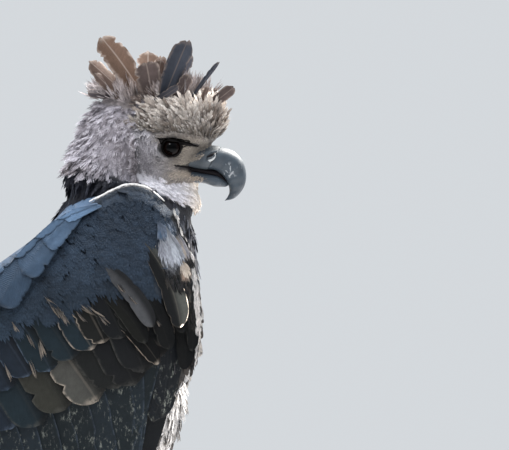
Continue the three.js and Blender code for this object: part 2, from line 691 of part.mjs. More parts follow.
// Tail: overlapping feathers in pairs from a small root, the middle pair on top.
function tailSolid(grow = 0) {
  const pitch = tail.pitch * degrees;
  const way = V(-Math.cos(pitch), 0, -Math.sin(pitch));
  const out = V(-Math.sin(pitch), 0, Math.cos(pitch));
  const root = V(...tail.root);
  const pieces = [];
  for (let pair = 0; pair < tail.pairs; pair++) {
    for (const side of [1, -1]) {
      const layer = -tail.drop * (2 * pair + (side > 0 ? 0 : 1));
      const rootY = side * (4 + tail.rootStep * pair);
      const tipY = side * (5 + tail.tipStep * pair);
      pieces.push(
        plate(
          (u, t) => {
            const reach = u * (tail.half * vaneWidths[t] + grow);
            const point = root.clone().addScaledVector(way, tail.length * (1 - 0.012 * pair) * t);
            point.y += lerp(rootY, tipY, t) + reach;
            const sag = tail.bow * t * t + (point.y / 60) ** 2 * 5;
            return { point: point.addScaledVector(out, layer - sag), out };
          },
          tail.thick + 2 * grow,
          vaneStations,
        ),
      );
    }
  }
  const core = new THREE.IcosahedronGeometry(1, 2);
  core.scale(tail.core.length + grow, tail.core.half + grow, tail.core.high + grow);
  core.rotateY(-pitch);
  const middle = root.clone().addScaledVector(way, tail.core.along).addScaledVector(out, -tail.core.low);
  core.translate(middle.x, middle.y, middle.z);
  pieces.push(solid(core), ...tailCoverts(way, out, grow));
  return join(pieces);
}

const tailNode = largest(tailSolid().subtract(bodyGrown));

const tarsusPoints = tarsusLine.map(([x, y, z]) => [x, -y, z]);
const tarsusSolid = (grow) => limb(tarsusPoints, tarsusRadius, { sides: 8, rings: 7, grow, round: 0.1 });
const thighRight = largest(thighSolid().subtract(bodyGrown));
const footRight = largest(overFloor(footSolids()));
const tarsusRight = largest(tarsusSolid(0).subtract(thighSolid(gap)).subtract(footSolids(gap)));
const clawsRight = toes.map((toe) => largest(overFloor(clawSolid(toe).subtract(footSolids(gap)))));

const colours = {
  paleGrey: [0.62, 0.6, 0.6, 0.85],
  slate: [0.09, 0.11, 0.13, 0.7],
  black: [0.05, 0.05, 0.06, 0.75],
  bill: [0.16, 0.18, 0.2, 0.4],
  cere: [0.13, 0.14, 0.15, 0.5],
  eye: [0.05, 0.03, 0.02, 0.1],
  white: [0.75, 0.72, 0.68, 0.85],
  yellow: [0.72, 0.58, 0.2, 0.55],
  talon: [0.03, 0.03, 0.035, 0.35],
};

function nodeMesh(name, body, [r, g, b, roughness]) {
  const made = body.getMesh();
  const stride = made.numProp;
  const points = new Float32Array(made.numVert * 3);
  for (let i = 0; i < made.numVert; i++) {
    points.set(made.vertProperties.subarray(i * stride, i * stride + 3), i * 3);
  }
  const shape = new THREE.BufferGeometry().setAttribute("position", new THREE.BufferAttribute(points, 3));
  shape.setIndex(new THREE.BufferAttribute(made.triVerts, 1));
  const color = new THREE.Color(r, g, b);
  const material = new THREE.MeshStandardMaterial({ color, roughness, metalness: 0 });
  const mesh = new THREE.Mesh(shape, material);
  mesh.name = name;
  return mesh;
}

const eagle = new THREE.Group();
const add = (name, body, colour) => eagle.add(nodeMesh(name, body, colour));
const addPair = (name, body, colour) => {
  add(`${name}_right`, body, colour);
  add(`${name}_left`, mirrored(body), colour);
};

add("head", head, colours.paleGrey);
add("cere", cereSolid, colours.cere);
add("upper_bill", upperBill, colours.bill);
add("lower_bill", jaw, colours.bill);
add("neck", neck, colours.black);
add("torso", torso, colours.slate);
add("tail", tailNode, colours.slate);
addPair("eye", eyeBall(-1), colours.eye);
addPair("wing_forearm", forearmRight, colours.slate);
addPair("wing_hand", handRight, colours.black);
addPair("thigh", thighRight, colours.white);
addPair("tarsus", tarsusRight, colours.yellow);
addPair("foot", footRight, colours.yellow);
toes.forEach((toe, i) => addPair(`claw_${toe.name}`, clawsRight[i], colours.talon));
const bounds = new THREE.Box3().setFromObject(eagle);
eagle.position.x = -(bounds.min.x + bounds.max.x) / 2;

export default eagle;
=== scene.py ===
import math

import bmesh
import bpy
import numpy as np
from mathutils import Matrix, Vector
from mathutils.bvhtree import BVHTree
from mathutils.kdtree import KDTree


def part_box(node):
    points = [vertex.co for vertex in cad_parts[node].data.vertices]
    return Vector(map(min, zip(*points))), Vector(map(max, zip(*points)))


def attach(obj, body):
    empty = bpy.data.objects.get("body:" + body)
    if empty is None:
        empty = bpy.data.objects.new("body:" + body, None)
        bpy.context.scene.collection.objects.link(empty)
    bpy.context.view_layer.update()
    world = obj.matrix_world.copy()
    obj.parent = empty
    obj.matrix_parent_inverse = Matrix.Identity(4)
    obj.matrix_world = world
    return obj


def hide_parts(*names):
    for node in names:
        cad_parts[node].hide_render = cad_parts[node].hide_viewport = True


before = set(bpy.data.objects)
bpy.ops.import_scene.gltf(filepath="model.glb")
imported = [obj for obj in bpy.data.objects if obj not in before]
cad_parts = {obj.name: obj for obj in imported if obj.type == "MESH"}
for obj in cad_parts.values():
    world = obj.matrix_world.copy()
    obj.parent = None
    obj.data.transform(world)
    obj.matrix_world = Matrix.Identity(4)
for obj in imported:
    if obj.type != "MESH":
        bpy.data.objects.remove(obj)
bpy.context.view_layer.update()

# Drawn in millimetres with +X ahead, +Y to the bird's left and +Z up; place() turns it into the frame's metres.
eyeX = 172
eyeLow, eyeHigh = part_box("eye_right")
shift = (eyeLow.x + eyeHigh.x) * 500 - eyeX
up = np.array([0.0, 0.0, 1.0])

view = {"centre": (254.5, 505), "width": 509, "lens": 500, "sensor": 36, "reach": 60}  # square at the bird's right side
lens = bpy.data.cameras.new("camera")
lens.lens, lens.sensor_width, lens.clip_end = view["lens"], view["sensor"], view["reach"]
camera = bpy.data.objects.new("camera", lens)
distance = view["width"] / 1000 * view["lens"] / view["sensor"]
camera.location = ((view["centre"][0] + shift) / 1000, -distance, view["centre"][1] / 1000)
camera.rotation_euler = (math.pi / 2, 0, 0)
bpy.context.scene.collection.objects.link(camera)
bpy.context.scene.camera = camera
bpy.context.scene.view_settings.view_transform = "Standard"


def place(points):
    return (np.asarray(points, float) + [shift, 0, 0]) / 1000


def tone(red, green, blue):  # a colour as seen on screen, made linear
    return np.array([(value / 255) ** 2.2 for value in (red, green, blue)])


def rgba(red, green, blue):
    return (*[float(c) for c in tone(red, green, blue)], 1.0)


def mix(a, b, share):
    return a + (b - a) * share


def ramp(value, low, high):
    share = np.clip((value - low) / (high - low), 0, 1)
    return share * share * (3 - 2 * share)


def hump(value, middle, width):
    return np.exp(-((value - middle) / width) ** 2)


def unit(vectors):
    return vectors / np.maximum(np.linalg.norm(vectors, axis=-1, keepdims=True), 1e-9)


def lineAt(spots, value):  # a broken line's height at a value
    return np.interp(value, *np.array(spots).T)


def along(values, share):  # a list read as a smooth run from its first to its last value
    values = np.asarray(values, float)
    spot = np.clip(share, 0, 1) * (len(values) - 1)
    i = np.minimum(spot.astype(int), len(values) - 2)
    s = spot - i
    return mix(values[i], values[i + 1], s * s * (3 - 2 * s))


def curveAt(points, share):  # a smooth line through points
    points = np.asarray(points, float)
    grown = np.vstack([2 * points[0] - points[1], points, 2 * points[-1] - points[-2]])
    spot = np.clip(share, 0, 1) * (len(points) - 1)
    i = np.minimum(spot.astype(int), len(points) - 2)
    s = (spot - i)[..., None]
    a, b, c, d = grown[i], grown[i + 1], grown[i + 2], grown[i + 3]
    return 0.5 * (2 * b + (c - a) * s + (2 * a - 5 * b + 4 * c - d) * s**2 + (3 * b - a - 3 * c + d) * s**3)


def headingAt(points, share):
    return unit(curveAt(points, np.minimum(share + 0.01, 1)) - curveAt(points, np.maximum(share - 0.01, 0)))


def noiseAt(points, size, seed=0):  # a soft value from -1 to 1 that wanders with the place
    p = np.asarray(points, float) / size + seed * 7.3
    x, y, z = p[..., 0], p[..., 1], p[..., 2]
    wave = np.sin(x + 1.7 * np.sin(y * 1.3 + seed)) + np.sin(y * 1.1 + 1.5 * np.sin(z * 1.2 + 2.1))
    return (wave + np.sin(z * 0.9 + 1.9 * np.sin(x * 1.4 + 0.7)) + np.sin((x + y + z) * 2.3)) / 4


def ball(segments, rings):
    bm = bmesh.new()
    bmesh.ops.create_uvsphere(bm, u_segments=segments, v_segments=rings, radius=1)
    return bm, np.array([v.co[:] for v in bm.verts])


def ballRuns(points):  # each point's way from pole to pole, and its turn round them
    return np.arccos(np.clip(points[:, 2], -1, 1)) / math.pi, np.arctan2(points[:, 1], points[:, 0])


def roundEnds(share, length):  # 0 at both ends of a limb and 1 between them
    return np.sqrt(np.maximum(0, 1 - (1 - np.minimum(np.minimum(share, 1 - share), length) / length) ** 2))


def reshape(bm, points):
    for vert, point in zip(bm.verts, points):
        vert.co = point
    bmesh.ops.recalc_face_normals(bm, faces=bm.faces)
    return bm


def link(name, data):
    thing = bpy.data.objects.new(name, data)
    bpy.context.scene.collection.objects.link(thing)
    return thing


def finishPiece(bm, name, material, replaced=()):
    bmesh.ops.recalc_face_normals(bm, faces=bm.faces)
    for vert in bm.verts:
        vert.co = ((vert.co.x + shift) / 1000, vert.co.y / 1000, vert.co.z / 1000)
    mesh = bpy.data.meshes.new(name)
    bm.to_mesh(mesh)
    bm.free()
    mesh.shade_smooth()
    return hang(mesh, name, material, replaced)


def hang(mesh, name, material, replaced=()):
    piece = link(name, mesh)
    mesh.materials.append(material)
    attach(piece, "root")
    if replaced:
        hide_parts(*replaced)
    return piece


def addNode(tree, kind, inputs=None, **settings):
    node = tree.nodes.new(kind)
    for name, value in settings.items():
        setattr(node, name, value)
    for name, value in (inputs or {}).items():
        if isinstance(value, bpy.types.NodeSocket):
            tree.links.new(value, node.inputs[name])
        else:
            node.inputs[name].default_value = value
    return node


def newMaterial(name, **shader):
    material = bpy.data.materials.new(name)
    material.use_nodes = True
    tree = material.node_tree
    surface = tree.nodes["Principled BSDF"]
    for socket, value in shader.items():
        surface.inputs[socket.replace("_", " ")].default_value = value
    return material, tree, surface


def reckon(tree, operation, a, b=0.5, c=0.5):
    return addNode(tree, "ShaderNodeMath", {0: a, 1: b, 2: c}, operation=operation).outputs[0]


def times(tree, a, b):
    return reckon(tree, "MULTIPLY", a, b)


def smoothMask(tree, value, low, high):
    node = addNode(tree, "ShaderNodeMapRange", {"Value": value, "From Min": low, "From Max": high},
                   interpolation_type="SMOOTHSTEP")
    return node.outputs["Result"]


def blendColour(tree, share, a, b, kind="MIX"):
    node = addNode(tree, "ShaderNodeMix", {"Factor": share, 6: a, 7: b}, data_type="RGBA", blend_type=kind)
    return node.outputs[2]


def shadeBy(tree, colour, shade):
    grey = addNode(tree, "ShaderNodeCombineXYZ", {0: shade, 1: shade, 2: shade}).outputs[0]
    return blendColour(tree, 1.0, colour, grey, "MULTIPLY")


def pointColour(tree, name):
    return addNode(tree, "ShaderNodeAttribute", attribute_name=name).outputs["Color"]


def objectSpot(tree):
    return addNode(tree, "ShaderNodeTexCoord").outputs["Object"]


def objectNoise(tree, scale, detail=3.0, rough=0.5, stretch=(1, 1, 1)):
    spot = addNode(tree, "ShaderNodeMapping", {"Vector": objectSpot(tree), "Scale": stretch}).outputs[0]
    settings = {"Vector": spot, "Scale": scale, "Detail": detail, "Roughness": rough}
    return addNode(tree, "ShaderNodeTexNoise", settings).outputs["Fac"]


def farFrom(tree, x, z):  # metres from a line that runs across the bird
    spot = addNode(tree, "ShaderNodeSeparateXYZ", {0: objectSpot(tree)})
    dx = reckon(tree, "SUBTRACT", spot.outputs[0], (x + shift) / 1000)
    dz = reckon(tree, "SUBTRACT", spot.outputs[2], z / 1000)
    return reckon(tree, "POWER", reckon(tree, "ADD", times(tree, dx, dx), times(tree, dz, dz)), 0.5)


def dress(tree, surface, colour, height=None, strength=0.5, depth=0.001):  # the colour and relief of a finish
    tree.links.new(colour, surface.inputs["Base Color"])
    if height:
        relief = addNode(tree, "ShaderNodeBump", {"Height": height, "Strength": strength, "Distance": depth})
        tree.links.new(relief.outputs[0], surface.inputs["Normal"])


studio = {
    "floor": (0.62, 0.62, 0.63, 1), "floorRadius": 6,
    "low": (0.30, 0.32, 0.36, 1), "high": (0.62, 0.70, 0.82, 1), "behind": (0.66, 0.69, 0.72, 1),
    "lamps": {  # place, where it points, size in metres, power in watts, colour
        "rimBehind": ((1.3, 1.0, 1.9), (0.2, 0, 0.5), 0.7, 190, (1, 0.96, 0.9)),
        "skyAbove": ((0.2, -0.3, 2.4), (0.2, 0, 0.45), 1.2, 60, (0.9, 0.95, 1)),
        "fillFront": ((-0.5, -1.6, 2.0), (0.27, 0, 0.55), 0.5, 14, (1, 1, 1)),
    },
}


def layFloor():
    material, _, surface = newMaterial("paleFloor", Roughness=0.9)
    surface.inputs["Base Color"].default_value = studio["floor"]
    bm = bmesh.new()
    bmesh.ops.create_circle(bm, cap_ends=True, segments=96, radius=studio["floorRadius"])
    mesh = bpy.data.meshes.new("floor")
    bm.to_mesh(mesh)
    bm.free()
    mesh.materials.append(material)
    floor = link("floor", mesh)


def lightRoom():
    world = bpy.data.worlds.new("softRoom")
    bpy.context.scene.world = world
    world.use_nodes = True
    tree = world.node_tree
    spot = addNode(tree, "ShaderNodeSeparateXYZ", {0: addNode(tree, "ShaderNodeTexCoord").outputs["Generated"]})
    sky = blendColour(tree, smoothMask(tree, spot.outputs[2], 0.0, 0.9), studio["low"], studio["high"])
    sky = blendColour(tree, smoothMask(tree, spot.outputs[1], 0.8, 0.97), sky, studio["behind"])
    tree.links.new(sky, tree.nodes["Background"].inputs[0])
    for name, (at, aim, size, power, colour) in studio["lamps"].items():
        lamp = bpy.data.lights.new(name, "AREA")
        lamp.size, lamp.energy, lamp.color = size, power, colour
        holder = link(name, lamp)
        holder.location = at
        holder.rotation_euler = (Vector(aim) - Vector(at)).to_track_quat("-Z", "Y").to_euler()


layFloor()
lightRoom()
print("camera, floor and lights set")


def featherMaterial(name, roughness=0.6, sheen=0.2, trimFrom=0.55, trimShare=0.8, shaft=0.25, barbs=38.0, bars=0.0,
                    barShare=0.0, fleck=0.0, fleckTone=(0.21, 0.22, 0.19, 1), bump=0.3, rootShade=0.6, lean=0.0):
    material, tree, surface = newMaterial(name, Roughness=roughness, Sheen_Weight=sheen, Sheen_Roughness=0.4,
                                          Sheen_Tint=(0.62, 0.7, 0.85, 1), Specular_IOR_Level=0.165)
    plumage, trim = pointColour(tree, "plumage"), pointColour(tree, "trim")
    vane = addNode(tree, "ShaderNodeSeparateXYZ", {0: addNode(tree, "ShaderNodeUVMap", uv_map="vane").outputs[0]})
    across = reckon(tree, "ABSOLUTE", reckon(tree, "MULTIPLY_ADD", vane.outputs[0], 2.0, -1.0))
    lengthwise = vane.outputs[1]
    wander = objectNoise(tree, 170.0, 4.0, 0.6)
    # pale fringe round the side edges and the tip
    side = smoothMask(tree, across, trimFrom, 1.0)
    if lean > 0.3:  # only the edge that lies on top
        side = times(tree, side, smoothMask(tree, vane.outputs[0], 0.55, 0.35))
    fringe = reckon(tree, "MAXIMUM", side, smoothMask(tree, lengthwise, mix(trimFrom, 1, 0.45), 1.0))
    fringe = times(tree, times(tree, fringe, smoothMask(tree, wander, 0.3, 0.62)), trimShare)
    colour = blendColour(tree, fringe, plumage, trim)
    if barShare:  # bands across the vane
        wave = reckon(tree, "MULTIPLY_ADD", lengthwise, bars * 2 * math.pi, times(tree, wander, 3.0))
        band = smoothMask(tree, reckon(tree, "SINE", wave), -0.1, 0.45)
        colour = blendColour(tree, times(tree, band, barShare), colour, trim)
    if fleck:
        spots = smoothMask(tree, objectNoise(tree, 300.0, 5.0, 0.8, (1, 1, 0.42)), 0.53, 0.66)
        spots = times(tree, spots, smoothMask(tree, objectNoise(tree, 80.0, 2.0), 0.42, 0.58))
        colour = blendColour(tree, times(tree, spots, fleck), colour, fleckTone)
    # fine barbs slant out from the shaft, and painted shade darkens the vane towards its root, where it lies under
    # other feathers
    slant = reckon(tree, "MULTIPLY_ADD", across, -barbs * 2.2, times(tree, lengthwise, barbs * 2 * math.pi))
    slant = reckon(tree, "ADD", slant, times(tree, wander, 9.0))
    ridge = reckon(tree, "MULTIPLY_ADD", reckon(tree, "SINE", slant), 0.5, 0.5)
    shade = reckon(tree, "MULTIPLY_ADD", ridge, 0.26, reckon(tree, "MULTIPLY_ADD", wander, 0.7, 0.52))
    root = {"Value": lengthwise, "From Max": 0.65, "To Min": rootShade, "To Max": 1.05}
    shade = times(tree, shade, addNode(tree, "ShaderNodeMapRange", root).outputs[0])
    # painted shade and light across the vane: the half that slips under its neighbour is darker and the other half is
    # painted lighter; a negative amount paints the lighter half on the other side
    if lean:  # the leading half of the vane is darker
        half = {"Value": vane.outputs[0], "From Min": 0.3, "From Max": 0.8, "To Min": 1.35, "To Max": 1.35 - lean}
        half = addNode(tree, "ShaderNodeMapRange", half, interpolation_type="SMOOTHSTEP")
        shade = times(tree, shade, half.outputs[0])
    colour = shadeBy(tree, colour, shade)
    if shaft:
        colour = blendColour(tree, times(tree, smoothMask(tree, across, 0.09, 0.02), shaft), colour, trim)
    height = reckon(tree, "MULTIPLY_ADD", wander, 0.8, times(tree, ridge, 0.5))
    dress(tree, surface, colour, height, bump, 0.0012)
    return material


body = {  # each mass: its centre, radii and tilt in degrees
    "torso": [((22, 0, 372), (186, 86, 88), 38), ((120, 0, 460), (82, 72, 86), 0), ((84, 0, 366), (92, 72, 76), 30),
              ((116, 0, 334), (72, 62, 88), 0), ((-96, 0, 290), (72, 50, 46), 35),
              ((100, 56, 448), (52, 30, 38), 34), ((100, -56, 448), (52, 30, 38), 34)],
    "neck": [((126, 0, 522), (62, 58, 48), -8), ((146, 0, 502), (44, 50, 42), 0)],
    "head": [((166, 0, 608), (50, 37, 36), -6), ((204, 0, 610), (23, 25, 22), 0), ((153, 0, 576), (40, 38, 29), -10),
             ((122, 0, 592), (46, 50, 48), 0), ((104, 0, 560), (41, 54, 43), 0), ((170, 0, 535), (34, 30, 26), -20),
             ((178, 0, 551), (15, 12, 7), -6), ((182, 25, 596), (24, 10, 6), -8), ((182, -25, 596), (24, 10, 6), -8)],
    "torsoFrom": (30, 0, 380), "headFrom": (148, 0, 580), "torsoBlend": 8, "headBlend": 4.5,
    "thighLine": [(112, 50, 352), (88, 52, 290), (58, 50, 215), (42, 48, 160)], "thighRadius": [66, 56, 31, 17],
    "shoulder": ((104, 74, 462), (46, 34, 34), 30), "upperArm": ((20, 78, 412), (92, 26, 26), 36),
    "tailRoot": (-136, 0, 262), "tailPitch": 35, "tailCore": (112, 42, 30), "tailSunk": (34, 9),
    "voxel": 2.6, "smoothing": 5,
}
wing = {
    "at": (40, 380), "front": 175, "back": 140, "out": 118, "fall": 42, "power": 2.2, "top": 26, "up": 160,
    "tuck": 0.05,
    "forearm": [(-52, 370), (20, 424), (84, 468), (138, 503), (172, 508)], "forearmHalf": [24, 40, 49, 45, 19],
    "hand": [(162, 498), (180, 458), (186, 410), (182, 350)], "handHalf": [18, 18, 15, 8],
    "forearmThick": 8, "handThick": 5, "handInward": 3,
}
eye = {
    "at": (eyeX, 26.6, 582.1), "radius": 10.4, "lidOver": 0.8, "open": (8.7, 8.5), "browHigh": 6.2, "browFall": 0.1,
    "bare": (10.6, 9), "socket": (14.5, 10.8), "pupil": 0.0052, "lidThick": 0.0009,
    "brow": [(155, 592), (160, 590.6), (165, 589.3), (171, 588.7), (177, 588.1), (183, 586.8), (189, 585.4),
             (194, 584.2), (199, 583.2)],
    "browRadius": [0.4, 1.0, 1.4, 1.5, 1.7, 2.2, 2.0, 1.1, 0.4],
    # the wide dark reach from 0 to 30 degrees is a painted shadow to the right of the eye
    "lidReach": [(0, 11), (10, 17), (20, 20), (30, 14.5), (60, 9.8), (90, 8.6), (120, 10.4), (146, 15), (165, 10.6),
                 (200, 9.4), (250, 9.2), (300, 9.2), (340, 9.6), (360, 11)],  # by the turn round the eye in degrees
}


def ellipsoidFar(mass, points):
    (cx, cy, cz), radii, tilt = mass
    turn = math.radians(tilt)
    dx, dz = points[:, 0] - cx, points[:, 2] - cz
    q = np.stack([dx * math.cos(turn) + dz * math.sin(turn), points[:, 1] - cy,
                  dz * math.cos(turn) - dx * math.sin(turn)], 1)
    near = np.linalg.norm(q / radii, axis=1)
    steep = np.linalg.norm(q / np.square(radii), axis=1)
    return near * (near - 1) / np.maximum(steep, 1e-9)


def fieldFar(masses, blend, points):
    return -blend * np.log(sum(np.exp(-ellipsoidFar(mass, points) / blend) for mass in masses) + 1e-300)


def wingOut(x, z):  # how far out from the middle plane the wing hangs
    dx = np.abs(x - wing["at"][0]) / np.where(x > wing["at"][0], wing["front"], wing["back"])
    dz = z - wing["at"][1]
    high = np.where(dz > 0, wing["top"] * (dz / wing["up"]) ** 2, -dz * wing["tuck"])
    return wing["out"] - wing["fall"] * dx ** wing["power"] - high


def starShell(start, masses, blend, stretch, reach, step=6):  # rays from one inner point out to the melted masses
    bm = bmesh.new()
    bmesh.ops.create_icosphere(bm, subdivisions=6, radius=1)
    rays = unit(np.array([v.co[:] for v in bm.verts]) * stretch)
    outer = np.full(len(rays), float(reach))
    for _ in range(int(reach / step)):
        outside = fieldFar(masses, blend, start + rays * outer[:, None]) > 0
        if not outside.any():
            break
        outer = np.where(outside, np.maximum(outer - step, 1), outer)
    low, high = outer, outer + step
    for _ in range(9):
        middle = (low + high) / 2
        inside = fieldFar(masses, blend, start + rays * middle[:, None]) < 0
        low, high = np.where(inside, middle, low), np.where(inside, high, middle)
    return reshape(bm, start + rays * low[:, None])


def ellipsoidShell(mass, side=1):
    bm, points = ball(28, 18)
    (cx, cy, cz), radii, tilt = mass
    points = points * radii
    turn = math.radians(tilt)
    x, z = points[:, 0].copy(), points[:, 2].copy()
    points[:, 0] = x * math.cos(turn) - z * math.sin(turn) + cx
    points[:, 2] = x * math.sin(turn) + z * math.cos(turn) + cz
    points[:, 1] += cy * side
    return reshape(bm, points)


def limbShell(line, radii, segments=24, rings=30, wide=1.0, rounding=0.1):  # a round-ended limb along a line
    bm, points = ball(segments, rings)
    share, turn = ballRuns(points)
    radius = along(radii, share) * roundEnds(share, rounding)
    tangent = headingAt(line, share)
    side = unit(np.cross([0, 1, 0], tangent))
    across = np.cross(tangent, side)
    return reshape(bm, curveAt(line, share) + side * (radius * np.cos(turn))[:, None]
                   + across * (radius * wide * np.sin(turn))[:, None])


def padShell(line, half, thick, inward, side):  # the flat flesh of the wing, bent onto the wing's surface
    bm, points = ball(28, 40)
    share, turn = ballRuns(points)
    close = roundEnds(share, 0.12)
    centre, heading = curveAt(line, share), headingAt(line, share)
    reach = along(half, share) * close * np.cos(turn)
    x, z = centre[:, 0] - heading[:, 1] * reach, centre[:, 1] + heading[:, 0] * reach
    out = wingOut(x, z) + thick * close * np.sin(turn) - inward
    return reshape(bm, np.stack([x, side * out, z], 1))


bill = {
    "ridge": [(182, 574), (197, 581.5), (210, 584.2), (222, 582.9), (234, 578.6), (242, 570.3), (246, 558.5),
              (245.4, 547), (241, 538), (233.5, 531.2), (224.3, 529)],
    "edge": [(176, 563.8), (190, 562), (203, 559.8), (212.5, 560.2), (218.5, 557.3), (223, 553.3), (226.6, 548.6),
             (229, 543), (229.3, 537.5), (227.3, 532.8), (224.3, 529.2)],
    "half": [15, 17, 17.5, 16, 14, 12, 9.5, 7.5, 5.5, 3.5, 0.2],
    "jawTop": [(174, 562.6), (190, 560.2), (205, 557.4), (218, 554.8), (229, 547)],
    "jawLow": [(176, 548), (190, 546.5), (203, 547), (215, 543.4), (228, 543)],
    "jawHalf": [14, 14, 12.5, 10.5, 4],
    "mouthTop": [(178, 565), (192, 564), (206, 562), (216, 560), (225, 554)], "mouthHalf": [9, 11, 11, 9, 4],
    "gape": [(172.6, 564.4), (178, 563.9), (184, 563), (190, 562), (197, 560.6), (205, 558.8)],
    "gapeRadius": [0.5, 0.9, 1.2, 1.3, 1.4, 1.2],
    "cereAt": (214, 572), "cereLean": -29, "nostril": (211.6, 573.4), "nostrilSize": (6.0, 2.3), "nostrilTilt": 28,
    "nostrilLine": [(207, 572.6), (209.4, 573.5), (211.8, 574.8), (214, 576), (215.4, 577)],
    "nostrilRadius": [0.5, 1.1, 1.3, 1.0, 0.4],
    # the pale nostril rim along rimLine is a painted highlight on the nostril's lit inner edge
    "rimLine": [(208, 569.6), (210, 569.4), (212.4, 570.8), (214.6, 572.8), (216, 574.8)],
    "rimRadius": [0.5, 1.3, 1.4, 1.1, 0.4],
    "cereBorder": [(208, 545), (208, 549), (203, 553.5), (192, 557.5), (176, 561), (174, 562.4), (178, 564.4),
                   (190, 565.6), (196.7, 567.2), (203.3, 569.4), (204.4, 572.2), (206.7, 577.8), (212.2, 583),
                   (216, 590)],
    "loreOver": 1.7, "loreSpan": (0.36, 0.86), "scuffAt": (229, 559),
}


def bladeShell(ridge, edge, half, segments, rings, span=1.0):
    bm, points = ball(segments, rings)
    share, turn = ballRuns(points)
    share = share * span
    close = np.sqrt(np.minimum(share / 0.04, 1)) * np.sqrt(np.maximum(0, np.minimum((1 - share) / 0.05, 1)))
    top, low = curveAt(ridge, share), curveAt(edge, share)
    middle, rise = (top + low) / 2, (top - low) / 2
    cos, sin = np.cos(turn), np.sin(turn)
    high = close * np.sign(cos) * np.abs(cos) ** np.where(cos < 0, 0.62, 1)
    wide = along(half, share) * close * np.sign(sin) * np.abs(sin) ** np.where(cos < 0, 0.8, 0.9)
    pole = np.hypot(points[:, 0], points[:, 1]) < 1e-6
    high, wide = np.where(pole, 0, high), np.where(pole, 0, wide)
    spot = middle + rise * high[:, None]
    return reshape(bm, np.stack([spot[:, 0], wide, spot[:, 1]], 1))


def pastCere(x, z):  # how far a place lies ahead of the border between short feathers and bare cere
    borderX, borderZ = np.array(bill["cereBorder"]).T
    return x - np.interp(z, borderZ, borderX)


def loreShell(ridge, edge, half, span):  # short-feathered skin over the back of the bill
    bm = bladeShell(ridge, edge, np.array(half) + bill["loreOver"], 40, 60, span)
    for vert in bm.verts:
        past = float(ramp(np.array(pastCere(vert.co.x, vert.co.z)), -0.5, 3))
        vert.co.y *= 1 - 0.45 * past
        vert.co.z += (567 - vert.co.z) * 0.35 * past
    return bm


def bodyShells():  # parts: 0 torso, 1 head, 2 tail root, 3 thigh, 4 wing, 5 upper arm
    torso, head = body["torso"] + body["neck"], body["head"] + body["neck"][:1]
    shells = [(0, starShell(body["torsoFrom"], torso, body["torsoBlend"], (1.5, 0.85, 1), 330)),
              (1, starShell(body["headFrom"], head, body["headBlend"], (1.1, 0.9, 1), 160))]
    pitch = math.radians(body["tailPitch"])
    (x, _, z), (back, down) = body["tailRoot"], body["tailSunk"]
    core = (x - back * math.cos(pitch) + down * math.sin(pitch), 0, z - back * math.sin(pitch) - down * math.cos(pitch))
    shells.append((2, ellipsoidShell((core, body["tailCore"], body["tailPitch"]))))
    shells += [(1, loreShell(bill["ridge"], bill["edge"], bill["half"], bill["loreSpan"][0])),
               (1, loreShell(bill["jawTop"], bill["jawLow"], bill["jawHalf"], bill["loreSpan"][1]))]
    for side in (1, -1):
        line = [(x, y * side, z) for x, y, z in body["thighLine"]]
        shells += [(3, limbShell(line, body["thighRadius"], wide=0.62, rounding=0.22)),
                   (4, padShell(wing["forearm"], wing["forearmHalf"], wing["forearmThick"], 0, side)),
                   (4, padShell(wing["hand"], wing["handHalf"], wing["handThick"], wing["handInward"], side)),
                   (4, ellipsoidShell(body["shoulder"], side)), (5, ellipsoidShell(body["upperArm"], side))]
    return shells


def pointsOf(mesh):
    points = np.empty(len(mesh.vertices) * 3)
    mesh.vertices.foreach_get("co", points)
    return points.reshape(-1, 3)


def normalsOf(mesh):
    normals = np.empty(len(mesh.vertices) * 3)
    mesh.vertex_normals.foreach_get("vector", normals)
    return normals.reshape(-1, 3)


def smoothed(mesh, points, rounds):
    edges = np.empty(len(mesh.edges) * 2, int)
    mesh.edges.foreach_get("vertices", edges)
    a, b = edges.reshape(-1, 2).T
    count = np.bincount(np.r_[a, b], minlength=len(points))[:, None]
    for i in range(rounds * 2):
        total = np.stack([np.bincount(a, points[b, k], len(points)) + np.bincount(b, points[a, k], len(points))
                          for k in range(3)], 1)
        points = points + (total / count - points) * (0.5 if i % 2 == 0 else -0.52)
    return points


def meltTogether(shells, voxel, rounds):  # one even skin round closed shells
    joiner = bmesh.new()
    for shell in shells:
        mesh = bpy.data.meshes.new("shell")
        shell.to_mesh(mesh)
        shell.free()
        joiner.from_mesh(mesh)
        bpy.data.meshes.remove(mesh)
    mesh = bpy.data.meshes.new("rough")
    joiner.to_mesh(mesh)
    joiner.free()
    rough = link("rough", mesh)
    melt = rough.modifiers.new("melt", "REMESH")
    melt.mode = "VOXEL"
    melt.voxel_size = voxel
    melted = bpy.data.meshes.new_from_object(rough.evaluated_get(bpy.context.evaluated_depsgraph_get()))
    bpy.data.objects.remove(rough)
    return melted, smoothed(melted, pointsOf(melted), rounds)


partShells = bodyShells()
partPoints, partFaces, partOfFace = [], [], []
for part, shell in partShells:
    shell.verts.index_update()
    start = len(partPoints)
    partPoints += [v.co.copy() for v in shell.verts]
    partFaces += [[v.index + start for v in face.verts] for face in shell.faces]
    partOfFace += [part] * len(shell.faces)
partTree = BVHTree.FromPolygons(partPoints, partFaces)
print("body masses drawn")


def moveTo(mesh, points):
    mesh.vertices.foreach_set("co", points.ravel())
    mesh.update()


skinMesh, skinPoints = meltTogether([shell for _, shell in partShells], body["voxel"], body["smoothing"])
moveTo(skinMesh, skinPoints)
print("skin melted together,", len(skinPoints), "points")

